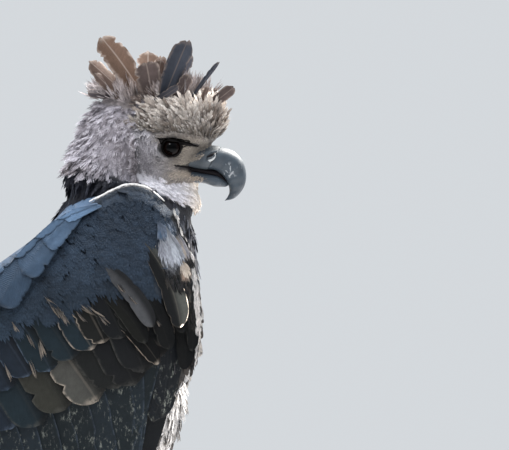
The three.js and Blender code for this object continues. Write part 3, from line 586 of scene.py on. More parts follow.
regionCount = 14
(nothing, face, crown, ruff, throat, neck, back, breast, belly, thigh, coverts, rump, innerWing,
 crestBase) = range(regionCount)
coatDepth = {nothing: 1.2, face: 1.3, crown: 3.6, ruff: 8.5, throat: 4, neck: 6, back: 5, breast: 6, belly: 7,
             thigh: 6.5, coverts: 2.6, rump: 6, innerWing: 2, crestBase: 5}
headBorder = [(50, 566), (65, 563), (85, 557), (100, 553), (120, 553), (142, 548), (172, 534), (202, 520), (220, 512)]
crease = [(500, 168), (545, 141), (576, 135), (608, 138), (617, 143), (632, 160), (650, 176)]  # by height


def eyeFar(points, radii):  # 1 on an oval round the eye
    return ((points[:, 0] - eye["at"][0]) / radii[0]) ** 2 + ((points[:, 2] - eye["at"][2]) / radii[1]) ** 2


def regionsAt(points, normals, parts):
    x, y, z = points.T
    region = np.full(len(points), back)
    bellySide = (x - 22) * 0.643 - (z - 372) * 0.766  # the body leans by 50 degrees
    bodyAlong = (x - 22) * 0.766 + (z - 372) * 0.643
    region[(bellySide > -30) & (x > 60) & (z > 400)] = breast
    region[(bellySide > 8) & (bodyAlong < 160 + 6 * np.sin(y * 0.2))] = belly
    border = lineAt(headBorder, x)
    onHead = (z > border) & ((parts == 1) | (z > 530))
    ahead = x > lineAt(crease, z)
    region[(parts == 1) & ~onHead] = neck
    region[(parts == 0) & (z > 500) & (z < border) & (x < 158)] = neck
    region[onHead & ~ahead] = ruff
    region[onHead & ahead] = face
    region[onHead & ahead & (z < 549 + np.maximum(0, 170 - x) * 0.4)] = throat
    region[onHead & ahead & (z > 598 - (x - 157) * 0.14)] = crown
    region[onHead & (z > 629) & (normals[:, 2] > 0.35) & (x > 98) & (x < 205)] = crestBase
    region[onHead & (z > 621 + np.abs(x - 138) * 0.25) & (x > 104) & (x < 172)] = crestBase
    region[parts == 3] = thigh
    region[(parts == 3) & (np.abs(y) < 24) & (z > 300)] = belly
    region[parts == 4] = coverts
    region[(parts == 4) & (normals[:, 1] * np.sign(y) < -0.25)] = innerWing
    region[(parts == 2) | ((parts == 0) & (bodyAlong < -128))] = rump
    region[(eyeFar(points, eye["bare"]) < 1) & (np.abs(y) > 15)] = nothing
    over = z - lineAt(eye["brow"], x)
    atBrow = np.abs(y) > 12
    region[(np.abs(over) < 1.7) & (x > 154) & (x < 201) & atBrow] = nothing
    # painted shadow: a bare dark wedge under the brow, to the right of the eye
    region[(over < 0) & (over > -4.5 + (x - 181) * 0.3) & (x > 178) & (x < 193) & atBrow] = nothing
    past = pastCere(x, z)
    region[(past > 0) & (z > 543) & (z < 588) & (x < 250) & (region != throat)] = nothing
    region[(past > 0.5) & (x > 206) & (z > 541) & (z < 586)] = nothing
    return region


skinNormals = normalsOf(skinMesh)
skinParts = np.array([partOfFace[partTree.find_nearest(Vector(p))[2]] for p in skinPoints])
skinRegions = regionsAt(skinPoints, skinNormals, skinParts)
depths = np.array([coatDepth[region] for region in range(regionCount)])[skinRegions]
depths = smoothed(skinMesh, np.repeat(depths[:, None], 3, 1), 5)[:, :1]
skinPoints = skinPoints - skinNormals * depths
fromEye = eyeFar(skinPoints, eye["socket"])
inSocket = (fromEye < 1) & (np.abs(skinPoints[:, 1]) > 12)
sunk = np.minimum(np.abs(skinPoints[:, 1]), eye["at"][1] - 0.6 + 7 * fromEye**2)
skinPoints[inSocket, 1] = (np.sign(skinPoints[:, 1]) * sunk)[inSocket]
moveTo(skinMesh, skinPoints)
skinNormals = normalsOf(skinMesh)
skinTree = BVHTree.FromPolygons([Vector(p) for p in skinPoints], [list(p.vertices) for p in skinMesh.polygons])


def skinSide(x, z, side, default=20.0):  # how far out the skin's outer side is
    hit = skinTree.ray_cast(Vector((x, side * 200, z)), Vector((0, -side, 0)))
    return abs(hit[0].y) if hit[0] else default


palette = {name: tone(*screen) for name, screen in {
    "face": (152, 147, 146), "faceTrim": (196, 190, 186), "lore": (146, 136, 122), "cheek": (138, 134, 139),
    # socket and socketShadeTrim: painted shadow round the eye
    "jaw": (186, 170, 152), "jawFoldShadow": (112, 106, 104), "socket": (72, 64, 58), "socketShadeTrim": (104, 94, 86),
    "brow": (126, 117, 108), "bareSkin": (62, 58, 58), "crown": (178, 168, 158), "crownTrim": (236, 229, 221),
    "crownDark": (104, 93, 85), "crownFoot": (92, 84, 76), "ruff": (178, 171, 176), "ruffTrim": (222, 216, 219),
    "ruffDark": (116, 107, 108), "ruffWarm": (140, 126, 120), "throat": (206, 201, 200), "throatCool": (198, 194, 202),
    "throatWarm": (236, 220, 200), "throatTrim": (246, 240, 234), "down": (126, 112, 104), "downPale": (176, 166, 164),
    "black": (40, 40, 46), "blackTrim": (84, 84, 92), "greenBlack": (23, 29, 29), "ink": (14, 14, 13),
    "dusk": (20, 20, 17), "teal": (22, 31, 35), "olive": (40, 39, 33), "ash": (58, 57, 53), "mist": (62, 62, 63),
    "frost": (112, 112, 118), "pale": (158, 161, 166), "slate": (44, 54, 66), "slateDark": (24, 30, 37),
    # blue: a painted sky reflection on the slate plumage
    "slateTrim": (74, 84, 97), "blue": (66, 82, 100), "brown": (78, 72, 66), "brownTrim": (158, 145, 130),
    "white": (220, 215, 210), "whiteTrim": (248, 244, 240), "bar": (38, 38, 42), "tailBar": (140, 136, 132),
    "bendBlue": (104, 118, 136), "bendGrey": (140, 142, 147), "bendBuff": (172, 148, 130), "bendCream": (196, 168, 150),
    "crestBuff": (98, 78, 65), "crestPale": (196, 182, 170), "crestSlate": (52, 55, 62), "crestDusk": (128, 112, 100),
}.items()}


def faceColours(x, z, pick, patch):
    lore = ramp(np.hypot(x - 196, z - 571), 34, 14)
    cheek = ramp(x, 168, 146) * ramp(z, 612, 590)
    base = mix(mix(palette["face"], palette["lore"], lore * 0.85), palette["cheek"], cheek * 0.8)
    base = mix(base, palette["jaw"], ramp(z, 561, 556) * ramp(x, 160, 178) * 0.7)
    # painted shadow in the fold under the chin
    base = mix(base, palette["jawFoldShadow"], hump(z, 550, 2.2) * ramp(x, 150, 162) * 0.6)
    # painted shadow under the brow to the right of the eye, with the darker feathering round and below the eye
    dark = hump(x, 178, 17) * hump(z, 588.5 - (x - eyeX) * 0.12, 4.5)
    dark = np.maximum(dark, 0.7 * hump(x, eyeX, 13) * hump(z, 577, 7))
    base = mix(base, palette["socket"], dark * 0.85)
    trim = mix(mix(palette["faceTrim"], palette["lore"], lore * 0.6), palette["socketShadeTrim"], dark * 0.85)
    base = mix(base, palette["brow"], ramp(z, 588, 592) * ramp(x, 150, 160) * 0.7)
    # painted shadow along the fold between face and ruff, on the face side
    base = base * mix(1, 0.6, ramp(x - lineAt(crease, z), 5, 1))
    return base * mix(1.12, 0.68, np.clip(0.5 + patch * 0.4 + (pick - 0.5) * 0.8, 0, 1)), trim


def coatColours(region, points, seed):  # the ground colour and the fringe of each feather
    rng = np.random.default_rng(seed)
    pick = rng.random((len(points), 1))
    patch, clump = noiseAt(points, 9, 1)[:, None], noiseAt(points, 3.5, 4)[:, None]
    x, _, z = points.T[..., None]
    if region == face:
        return faceColours(x, z, pick, patch)
    if region == crown:
        base = mix(palette["crown"], palette["crownDark"], np.clip(0.4 + clump * 1.1 + (pick - 0.5) * 0.5, 0, 1))
        base = mix(base, palette["crownFoot"], ramp(z + (x - eyeX) * 0.12, 606, 596) * 0.75)
        # painted highlight: the crown is lighter towards its top, where the light falls
        base = base * mix(1, 1.9, ramp(z, 606, 626))
        return base, mix(palette["crownTrim"], palette["crownDark"], ramp(clump, -0.1, 0.4) * 0.85)
    if region == crestBase:
        middle = hump(x, 147, 17)
        base = mix(palette["downPale"], palette["down"], np.clip(middle * 1.1 + pick * 0.3 - 0.1, 0, 1))
        # painted shadow under the crest feathers: the down is darker towards the front
        base = mix(base, palette["crownDark"], ramp(x, 158, 172) * 0.5)
        return base * mix(1.1, 0.7, pick), mix(palette["downPale"], palette["down"], middle * 0.7)
    if region == ruff:
        base = mix(palette["ruff"], palette["ruffDark"], np.clip(pick * 0.5 + clump * 0.5 + patch * 0.2, 0, 1))
        base = mix(base, palette["blackTrim"], ramp(z - lineAt(headBorder, x), 12, 0) * 0.5)
        base = mix(base, palette["ruffWarm"], ramp(x, 95, 70) * ramp(z, 580, 560) * 0.6)
        return base, mix(palette["ruffTrim"], palette["ruffDark"], (rng.random(pick.shape) > 0.72) * 0.8)
    if region == throat:
        warm = ramp(x, 175, 200)
        base = mix(palette["throat"], palette["throatCool"], 0.55 * (1 - warm))
        base = mix(base, palette["throatWarm"], warm * 0.7)
        return base * mix(1.05, 0.75, np.clip(pick * 0.6 + patch * 0.4, 0, 1)), palette["throatTrim"] + 0 * pick
    if region in (neck, breast):
        return mix(palette["black"], palette["black"] * 0.6, pick), palette["blackTrim"] + 0 * pick
    if region in (belly, innerWing):
        edge = 179 - (319 - z) * 0.28
        front = ramp(x, edge, edge + 2) * (z < 322) * (z > 262) * (region == belly)
        base = mix(palette["white"] * 0.9, palette["white"] * 0.6, pick)
        return mix(base, palette["ink"], front), mix(palette["whiteTrim"], palette["black"], front)
    if region == thigh:
        return mix(palette["white"], palette["white"] * 0.85, pick), mix(palette["bar"], palette["blackTrim"], pick)
    if region == rump:
        return mix(palette["slateDark"], palette["black"], pick), mix(palette["slateTrim"], palette["brownTrim"], pick)
    base = mix(palette["slate"], palette["slateDark"], np.clip(pick * 0.8 + patch * 0.4, 0, 1))
    trim = mix(palette["slateTrim"], palette["slateDark"], np.clip(0.25 + pick * 0.7, 0, 1))
    # painted blue sheen: a sky reflection mixed into the back's slate colour
    if region == back:  # bluer and smoother down the back
        base = mix(base, palette["blue"], np.clip(0.35 + pick * 0.4, 0, 1))
    if region == coverts:
        fore = ramp(x, 158, 176) * ramp(z, 520, 480)
        base, trim = mix(base, palette["brown"], fore * 0.75), mix(trim, palette["brownTrim"], fore)
    return base, trim


def downMaterial():
    material, tree, surface = newMaterial("downOnSkin", Roughness=0.85)
    grain = objectNoise(tree, 240.0, 4.0, 0.7)
    colour = shadeBy(tree, pointColour(tree, "plumage"), reckon(tree, "MULTIPLY_ADD", grain, 0.9, 0.45))
    dress(tree, surface, colour, grain, 0.5, 0.002)
    return material


def dressSkin():
    colours = np.zeros((len(skinPoints), 3))
    for region in range(regionCount):
        chosen = skinRegions == region
        if chosen.any():
            colours[chosen] = coatColours(region, skinPoints[chosen], 3)[0] if region else palette["bareSkin"]
    colours = smoothed(skinMesh, colours, 1) * 0.8
    skinMesh.vertices.foreach_set("co", place(skinPoints).ravel())
    layer = skinMesh.color_attributes.new("plumage", "FLOAT_COLOR", "POINT")
    layer.data.foreach_set("color", np.c_[np.clip(colours, 0, 1), np.ones(len(colours))].ravel())
    skinMesh.shade_smooth()
    skin = hang(skinMesh, "skin", downMaterial(),
                ("head", "neck", "torso", "thigh_right", "thigh_left"))
    bpy.context.view_layer.objects.active = skin
    skin.select_set(True)
    bpy.ops.object.mode_set(mode="EDIT")
    bpy.ops.mesh.select_all(action="SELECT")
    bpy.ops.uv.smart_project(angle_limit=math.radians(72), island_margin=0.002)
    bpy.ops.object.mode_set(mode="OBJECT")
    skin.select_set(False)
    skinMesh.uv_layers[0].name = "OFBake"


dressSkin()
print("skin coloured and unwrapped")


def vanePattern(segments, rings, stations, widths, shaft=0.0):  # one closed vane with a flat underside
    bm, points = ball(segments, rings)
    faces = [[v.index for v in f.verts] for f in bm.faces]
    bm.free()
    share, turn = ballRuns(points * [1, 1, -1])
    pole = np.hypot(points[:, 0], points[:, 1]) < 1e-6
    lengthwise = np.interp(share, np.linspace(0, 1, len(stations)), stations)
    edge = np.where(pole, 0, 1 - 2 * np.abs(turn) / math.pi)
    rise = np.where(turn > 0, 1.0, -0.3) * (1 - edge**2) + np.where(turn > 0, shaft, 0) * np.exp(-(edge / 0.09) ** 2)
    width = np.where(pole, 0, np.interp(lengthwise, stations, widths))
    return {"along": lengthwise[None], "edge": edge[None], "across": (edge * width)[None],
            "rise": np.where(pole, 0, rise)[None], "faces": faces}


def fringedPattern(strands, variants, seed, fan=1.0, gather=0.3, slim=1.25, short=0.36):  # strands fan from a shaft
    rng = np.random.default_rng(seed)
    strand = vanePattern(4, 3, [0, 0.4, 0.78, 1], [0.5, 1, 0.8, 0])
    s, c, rise = strand["along"][0], strand["across"][0], strand["rise"][0]
    pattern = {"along": [], "edge": [], "across": [], "rise": []}
    for _ in range(variants):
        for spot in np.linspace(-1, 1, strands):
            low, high = rng.uniform(0, gather), 1 - short * spot**2 + rng.uniform(-0.14, 0.05)
            tip = fan * spot + rng.normal(0, 0.12)
            middle = spot * 0.22 + (tip - spot * 0.22) * s**0.8
            pattern["along"].append(low + (high - low) * s)
            pattern["across"].append(middle + c * rng.uniform(0.75, 1.3) * slim / strands)
            pattern["edge"].append(np.clip(middle, -1, 1))
            pattern["rise"].append(rise + rng.uniform(0, 0.9) + 0.6 * (1 - spot**2))
    pattern = {name: np.array(values).reshape(variants, -1) for name, values in pattern.items()}
    pattern["faces"] = [[i + k * len(s) for i in face] for k in range(strands) for face in strand["faces"]]
    return pattern


scalePattern = vanePattern(6, 7, [0, 0.2, 0.42, 0.63, 0.8, 0.91, 0.97, 1], [0.35, 0.68, 0.92, 1, 0.94, 0.74, 0.45, 0])
softPattern = fringedPattern(7, 6, 1)
streakPattern = fringedPattern(5, 6, 2, 0.8)
bristlePattern = fringedPattern(3, 6, 3, 0.7, 0.2, 1.1)
wispPattern = fringedPattern(9, 5, 4, 1.1, 0.5, 0.8, 0.3)
coverPattern = fringedPattern(9, 6, 5, 0.95, 0.25, 1.7, 0.3)
bladeShape = [(0, 0.3), (0.05, 0.44), (0.1, 0.56), (0.15, 0.66), (0.2, 0.74), (0.25, 0.8), (0.3, 0.85),
              (0.35, 0.885), (0.4, 0.915), (0.45, 0.94), (0.5, 0.96), (0.545, 0.975), (0.59, 0.988), (0.63, 0.995),
              (0.67, 1), (0.705, 1), (0.74, 0.995), (0.772, 0.985), (0.802, 0.968), (0.83, 0.945), (0.856, 0.912),
              (0.88, 0.868), (0.902, 0.812), (0.922, 0.745), (0.94, 0.665), (0.956, 0.57), (0.97, 0.46),
              (0.983, 0.33), (0.993, 0.19), (1, 0)]
bladePattern = vanePattern(16, 29, *np.array(bladeShape).T, 0.7)


def layFeathers(pattern, kinds, roots, ways, outs, length, width, thick, droop, curl, cup):
    sides = np.cross(outs, ways)
    a, across, rise = (pattern[name][kinds] for name in ("along", "across", "rise"))
    run = length[:, None] * a
    high = thick * rise * np.sqrt(np.maximum(0.15, 1 - a)) - droop[:, None] * run * a - cup * width[:, None] * across**2
    side = width[:, None] * across + curl[:, None] * run * a
    return (roots[:, None, :] + ways[:, None, :] * run[..., None] + sides[:, None, :] * side[..., None]
            + outs[:, None, :] * high[..., None])


def joinFeathers(name, points, pattern, kinds, base, trim, bakeAt, material, replaced=(), flipped=None):
    count, corners = points.shape[:2]  # points is feathers by corners by three
    faceSizes = np.array([len(f) for f in pattern["faces"]])
    forward = np.concatenate([np.array(f) for f in pattern["faces"]])
    backward = np.concatenate([np.array(f[::-1]) for f in pattern["faces"]])
    flipped = np.zeros(count, bool) if flipped is None else flipped
    loops = np.where(flipped[:, None], backward[None], forward[None]) + (np.arange(count) * corners)[:, None]
    loops = loops.ravel()
    starts = np.concatenate([[0], np.cumsum(np.tile(faceSizes, count))[:-1]])
    mesh = bpy.data.meshes.new(name)
    mesh.vertices.add(count * corners)
    mesh.vertices.foreach_set("co", place(points.reshape(-1, 3)).ravel())
    mesh.loops.add(len(loops))
    mesh.loops.foreach_set("vertex_index", loops.astype(np.int32))
    mesh.polygons.add(len(starts))
    mesh.polygons.foreach_set("loop_start", starts.astype(np.int32))
    mesh.update(calc_edges=True)
    for label, colours in (("plumage", base), ("trim", trim)):
        layer = mesh.color_attributes.new(label, "FLOAT_COLOR", "POINT")
        layer.data.foreach_set("color", np.repeat(np.c_[np.clip(colours, 0, 1), np.ones(count)], corners, 0).ravel())
    vane = np.stack([0.5 + 0.5 * pattern["edge"][kinds], pattern["along"][kinds]], 2).reshape(-1, 2)[loops]
    if bakeAt is None:  # big feathers lie side by side in rows
        rows = math.ceil(math.sqrt(count / 4))
        columns = math.ceil(count / rows)
        corner = np.stack([(np.arange(count) % columns) / columns, (np.arange(count) // columns) / rows], 1)
        bake = np.repeat(corner, corners, 0)[loops] + (vane * 0.94 + 0.03) / [columns, rows]
    else:
        bake = np.repeat(bakeAt, corners, 0)[loops] + (vane - 0.5) * 0.003
    for label, spots in (("OFBake", bake), ("vane", vane)):
        layer = mesh.uv_layers.new(name=label)
        layer.uv.foreach_set("vector", spots.astype(np.float32).ravel())
    mesh.shade_smooth()
    mesh.set_sharp_from_angle(angle=math.radians(48))
    print(name, count, "feathers,", len(starts), "faces")
    return hang(mesh, name, material, replaced)


def lieAt(region, points, normals):  # the way the coat lies
    x, y, z = points.T
    side = np.sign(y + 1e-6)
    way = np.zeros_like(points)
    if region == face:
        radial = unit(points - [206, 0, 571])
        cheek = ramp(np.hypot(x - 196, z - 576), 26, 48)[:, None] * ramp(z, 612, 585)[:, None]
        way = mix(radial, np.array([0.22, 0, -1.0]), cheek)
    elif region in (crown, crestBase):
        way = unit(points - [194, 0, 572])
        if region == crestBase:
            way = way + np.stack([(x - 150) * 0.008, y * 0.004, 0.7 + 0 * x], 1)
    elif region == ruff:
        inward = ramp(x, 78, 128)
        way = unit(points - [178, 0, 598])
        way = way + np.stack([0.25 * inward, 0 * x, -0.15 - 0.95 * inward * ramp(z, 636, 610)], 1)
    elif region == throat:
        down = ramp(x, 186, 202)
        way = np.stack([mix(0.85, 0.2, down), 0 * x, mix(-0.6, -1.0, down)], 1)
    elif region in (coverts, innerWing):
        share = np.clip((x + 40) / 196, 0, 1)
        angle = np.radians(np.interp(share, [0, 0.5, 0.8, 1], [-54, -48, -62, -76]))
        angle = np.where((x > 158) & (z < 505), np.radians(-92), angle)
        way = np.stack([np.cos(angle), 0 * x, np.sin(angle)], 1)
    elif region == thigh:
        way = way + [-0.34, 0, -0.94]
    elif region == rump:
        pitch = math.radians(body["tailPitch"])
        way = way + [-math.cos(pitch), 0, -math.sin(pitch)]
        way[:, 1] += y * 0.003
    elif region == neck:
        way = way + [-0.45, 0, -0.9]
    elif region == belly:
        way = way + [-0.35, 0, -0.95]
    else:
        way = way + [-0.77, 0, -0.64]
        way[:, 1] += side * 0.1
    return unit(way - normals * np.sum(way * normals, 1, keepdims=True))


def sizeAt(region, points):  # feathers grow longer away from the bill and down the back
    x, _, z = points.T
    if region == face:
        return mix(0.62, 1.5, ramp(np.hypot(x - 196, z - 573), 10, 60))
    if region == crown:
        return mix(0.75, 1.2, ramp(z, 596, 622))
    if region == ruff:
        return mix(0.7, 1.2, ramp(x, 138, 75)) * mix(0.75, 1, ramp(z, 552, 575))
    if region in (back, neck):
        return mix(0.85, 1.6, ramp(x, 110, -50))
    return np.ones(len(x))


def spaced(spots, gaps):
    tree = KDTree(len(spots))
    for i, spot in enumerate(spots):
        tree.insert(spot, i)
    tree.balance()
    free = np.ones(len(spots), bool)
    kept = []
    for i, spot in enumerate(spots):
        if free[i]:
            kept.append(i)
            for _, j, _ in tree.find_range(spot, gaps[i]):
                free[j] = False
    return kept


def turned(vectors, axes, angles):
    c, s = np.cos(angles)[:, None], np.sin(angles)[:, None]
    return vectors * c + np.cross(axes, vectors) * s + axes * np.sum(axes * vectors, 1, keepdims=True) * (1 - c)


def triangleList(kind):
    found = np.empty(len(skinMesh.loop_triangles) * 3, int)
    skinMesh.loop_triangles.foreach_get(kind, found)
    return found.reshape(-1, 3)


skinMesh.calc_loop_triangles()
triangles = triangleList("vertices")
skinUv = np.empty(len(skinMesh.loops) * 2, np.float32)
skinMesh.uv_layers["OFBake"].uv.foreach_get("vector", skinUv)
skinUv = skinUv.reshape(-1, 2)
triangleUv = skinUv[triangleList("loops")]
corners = skinPoints[triangles]
triangleArea = np.linalg.norm(np.cross(corners[:, 1] - corners[:, 0], corners[:, 2] - corners[:, 0]), axis=1) / 2
triangleRegion = regionsAt(corners.mean(1), unit(skinNormals[triangles].mean(1)), skinParts[triangles[:, 0]])


def bakeNear(spots):  # the place on the skin's unwrap that is nearest to each root
    found = [skinTree.find_nearest(Vector(spot))[2] for spot in spots]
    return skinUv[[skinMesh.polygons[i].loop_start for i in found]]


def sampleSkin(region, gap, rng):
    chosen = np.flatnonzero(triangleRegion == region)
    count = int(triangleArea[chosen].sum() / gap**2 * 7) + 8
    picks = rng.choice(chosen, count, p=triangleArea[chosen] / triangleArea[chosen].sum())
    a, b = np.sqrt(rng.random(count)), rng.random(count)
    weights = np.stack([1 - a, a * (1 - b), a * b], 1)
    spots, bake, normals = (np.einsum("nk,nkc->nc", weights, values[picks]) for values in
                            (skinPoints[triangles], triangleUv, skinNormals[triangles]))
    normals = unit(normals)
    size = sizeAt(region, spots)
    kept = spaced(spots, gap * size)
    # roots with other skin close over them are left out
    shown = [i for i in kept if skinTree.ray_cast(Vector(spots[i] + normals[i] * 5), Vector(normals[i]), 9)[0] is None]
    return spots[shown], normals[shown], size[shown], bake[shown]


def growCoat(name, region, slot, look, pattern, seed, settings):
    rng = np.random.default_rng(seed)
    spots, normals, size, bake = sampleSkin(region, settings["gap"], rng)
    n = len(spots)
    stray = rng.normal(0, settings["stray"], n) + settings.get("clump", 0) * noiseAt(spots, 4.5, 5)
    ways = turned(lieAt(region, spots, normals), normals, stray)
    lift = np.radians(settings["lift"]) * rng.uniform(0.7, 1.35, n)
    if region == crestBase:  # laid up against the crest on the sides, upright on top
        lift = lift * mix(0.25, 1.0, ramp(normals[:, 2], 0.3, 0.85))
    if region == ruff:  # the tips stand out round the nape
        lift = lift * mix(0.75, 1.9, ramp(spots[:, 0], 118, 66) * ramp(spots[:, 2], 548, 572))
    sides = np.cross(normals, ways)
    ways, outs = turned(ways, sides, -lift), turned(normals, sides, -lift)
    outs = turned(outs, ways, rng.normal(0, settings["roll"], n))
    length = settings["length"] * size * rng.uniform(0.75, 1.25, n)
    half = settings["half"] * size * rng.uniform(0.8, 1.2, n)
    kinds = rng.integers(0, len(pattern["along"]), n)
    droop = settings["droop"] * rng.uniform(0.3, 1.7, n)
    points = layFeathers(pattern, kinds, spots - normals * settings["sink"], ways, outs, length, half,
                         settings["thick"], droop, rng.normal(0, 0.1, n), settings["cup"])
    points[..., 2] = np.maximum(points[..., 2], 3)
    if region == innerWing:
        limit = wingOut(points[..., 0], points[..., 2]) - 3
        points[..., 1] = np.clip(points[..., 1], -limit, limit)
    base, trim = coatColours(region, spots, seed + 1)
    joinFeathers(name, points, pattern, kinds, base, trim, bake, coatLooks[look])


coatLooks = {
    "shortFaceFeathers": dict(roughness=0.85, trimFrom=0.35, trimShare=0.5, barbs=5, rootShade=0.7),
    "streakedCrownFeathers": dict(roughness=0.85, trimFrom=0.3, trimShare=0.65, barbs=5, rootShade=0.4),
    "lilacRuffFeathers": dict(roughness=0.85, trimFrom=0.2, trimShare=0.7, barbs=5, rootShade=0.42),
    "crestDown": dict(roughness=0.9, trimFrom=0.3, trimShare=0.5, barbs=5, rootShade=0.6),
    "softThroatFeathers": dict(roughness=0.9, trimFrom=0.3, trimShare=0.5, barbs=5, rootShade=0.6),
    "blackFeathers": dict(roughness=0.65, trimFrom=0.5, trimShare=0.45, shaft=0.1, barbs=8, rootShade=0.5),
    "slateFeathers": dict(roughness=0.5, trimFrom=0.8, trimShare=0.3, barbs=10, rootShade=0.5),
    "whiteFeathers": dict(roughness=0.85, trimFrom=0.4, trimShare=0.4, barbs=6, rootShade=0.6),
    "barredThighFeathers": dict(roughness=0.8, trimFrom=2, trimShare=0, barbs=6, bars=2.0, barShare=0.9, rootShade=0.7),
}
coatLooks = {name: featherMaterial(name, **{"shaft": 0, **look}) for name, look in coatLooks.items()}

# Small feathers over the skin. Lift is in degrees, stray and roll in radians, the rest in millimetres or shares.
coat = {
    "faceFeathers": (face, "head_plumage", "shortFaceFeathers", bristlePattern, 11, dict(
        length=6.8, half=1.5, gap=1.6, lift=8, thick=0.3, droop=0.05, stray=0.16, roll=0.2, sink=0.5, cup=0)),
    "crownFeathers": (crown, "head_plumage", "streakedCrownFeathers", streakPattern, 12, dict(
        length=16, half=3.4, gap=3.0, lift=25, thick=0.4, droop=0.04, stray=0.12, roll=0.5, sink=1, cup=0.15,
        clump=0.5)),
    "crestDown": (crestBase, "head_plumage", "crestDown", wispPattern, 13, dict(
        length=27, half=6.0, gap=2.9, lift=66, thick=0.4, droop=0.0, stray=0.35, roll=0.9, sink=2, cup=0.2)),
    "ruffFeathers": (ruff, "head_plumage", "lilacRuffFeathers", wispPattern, 14, dict(
        length=16.5, half=4.4, gap=3.8, lift=21, thick=0.5, droop=0.08, stray=0.3, roll=0.45, sink=1.5, cup=0.25)),
    "throatFeathers": (throat, "head_plumage", "softThroatFeathers", streakPattern, 15, dict(
        length=12, half=2.1, gap=2.2, lift=9, thick=0.35, droop=0.06, stray=0.1, roll=0.2, sink=1, cup=0.1)),
    "neckFeathers": (neck, "black_plumage", "blackFeathers", streakPattern, 16, dict(
        length=20, half=4.6, gap=4.4, lift=16, thick=0.5, droop=0.1, stray=0.2, roll=0.4, sink=1.5, cup=0.2)),
    "backFeathers": (back, "slate_plumage", "slateFeathers", scalePattern, 17, dict(
        length=24, half=9.5, gap=8.6, lift=5, thick=0.6, droop=0.08, stray=0.1, roll=0.1, sink=1.5, cup=0.12)),
    "breastFeathers": (breast, "black_plumage", "blackFeathers", streakPattern, 18, dict(
        length=21, half=5.5, gap=5.4, lift=12, thick=0.5, droop=0.1, stray=0.2, roll=0.3, sink=1.5, cup=0.2)),
    "bellyFeathers": (belly, "thigh_plumage", "whiteFeathers", streakPattern, 19, dict(
        length=26, half=6.0, gap=6.2, lift=14, thick=0.5, droop=0.12, stray=0.25, roll=0.4, sink=1.5, cup=0.2)),
    "thighFeathers": (thigh, "thigh_plumage", "barredThighFeathers", softPattern, 20, dict(
        length=21, half=5.0, gap=5.2, lift=13, thick=0.5, droop=0.12, stray=0.18, roll=0.25, sink=1.5, cup=0.2)),
    "shoulderFeathers": (coverts, "slate_plumage", "slateFeathers", scalePattern, 21, dict(
        length=15, half=5.4, gap=5.4, lift=9, thick=0.5, droop=0.08, stray=0.14, roll=0.12, sink=1, cup=0.12)),
    "rumpFeathers": (rump, "slate_plumage", "slateFeathers", scalePattern, 22, dict(
        length=34, half=11, gap=10.5, lift=9, thick=0.7, droop=0.08, stray=0.12, roll=0.12, sink=1.5, cup=0.12)),
    "underwingCoverts": (innerWing, "thigh_plumage", "whiteFeathers", scalePattern, 23, dict(
        length=22, half=7, gap=9, lift=4, thick=0.5, droop=0.05, stray=0.15, roll=0.1, sink=1.5, cup=0.1)),
}
for name, piece in coat.items():
    growCoat(name, *piece)

fold = {"line": [(168, 634), (158, 634), (150, 629), (143, 622), (136, 612), (136, 600), (137, 585), (136, 570),
                 (137, 558), (141, 548)], "count": 64, "length": (7.5, 11), "half": (3, 4.4)}


def layFold(rng):  # rolled tufts along the fold between face and ruff
    n = fold["count"]
    spots = curveAt(fold["line"], np.linspace(0, 1, n)) + rng.normal(0, 0.5, (n, 2))
    roots, normals = [], []
    for side in (-1, 1):
        for x, z in spots:
            hit, normal, _, _ = skinTree.ray_cast(Vector((x, side * 200, z)), Vector((0, -side, 0)))
            roots.append(hit - normal * 1.5)
            normals.append(normal)
    roots, normals, n = np.array(roots), np.array(normals), 2 * n
    lie = np.stack([np.full(n, -0.75), np.zeros(n), np.tile(np.linspace(0.7, -0.9, fold["count"]), 2)], 1)
    ways = unit(lie + normals * 0.9)
    outs = unit(normals - ways * np.sum(normals * ways, 1, keepdims=True))
    outs = turned(outs, ways, rng.normal(0, 0.5, n))
    kinds = rng.integers(0, len(wispPattern["along"]), n)
    length, half = rng.uniform(*fold["length"], n), rng.uniform(*fold["half"], n)
    points = layFeathers(wispPattern, kinds, roots, ways, outs, length, half, 0.5, np.full(n, 0.2),
                         rng.normal(0, 0.1, n), 0.4)
    pick = rng.random(n)[:, None]
    joinFeathers("creaseFeathers", points, wispPattern, kinds, mix(palette["ruffDark"], palette["ruff"], pick * 0.8),
                 palette["ruffTrim"] + 0 * pick, bakeNear(roots), coatLooks["lilacRuffFeathers"])


layFold(np.random.default_rng(24))
print("small feathers laid")

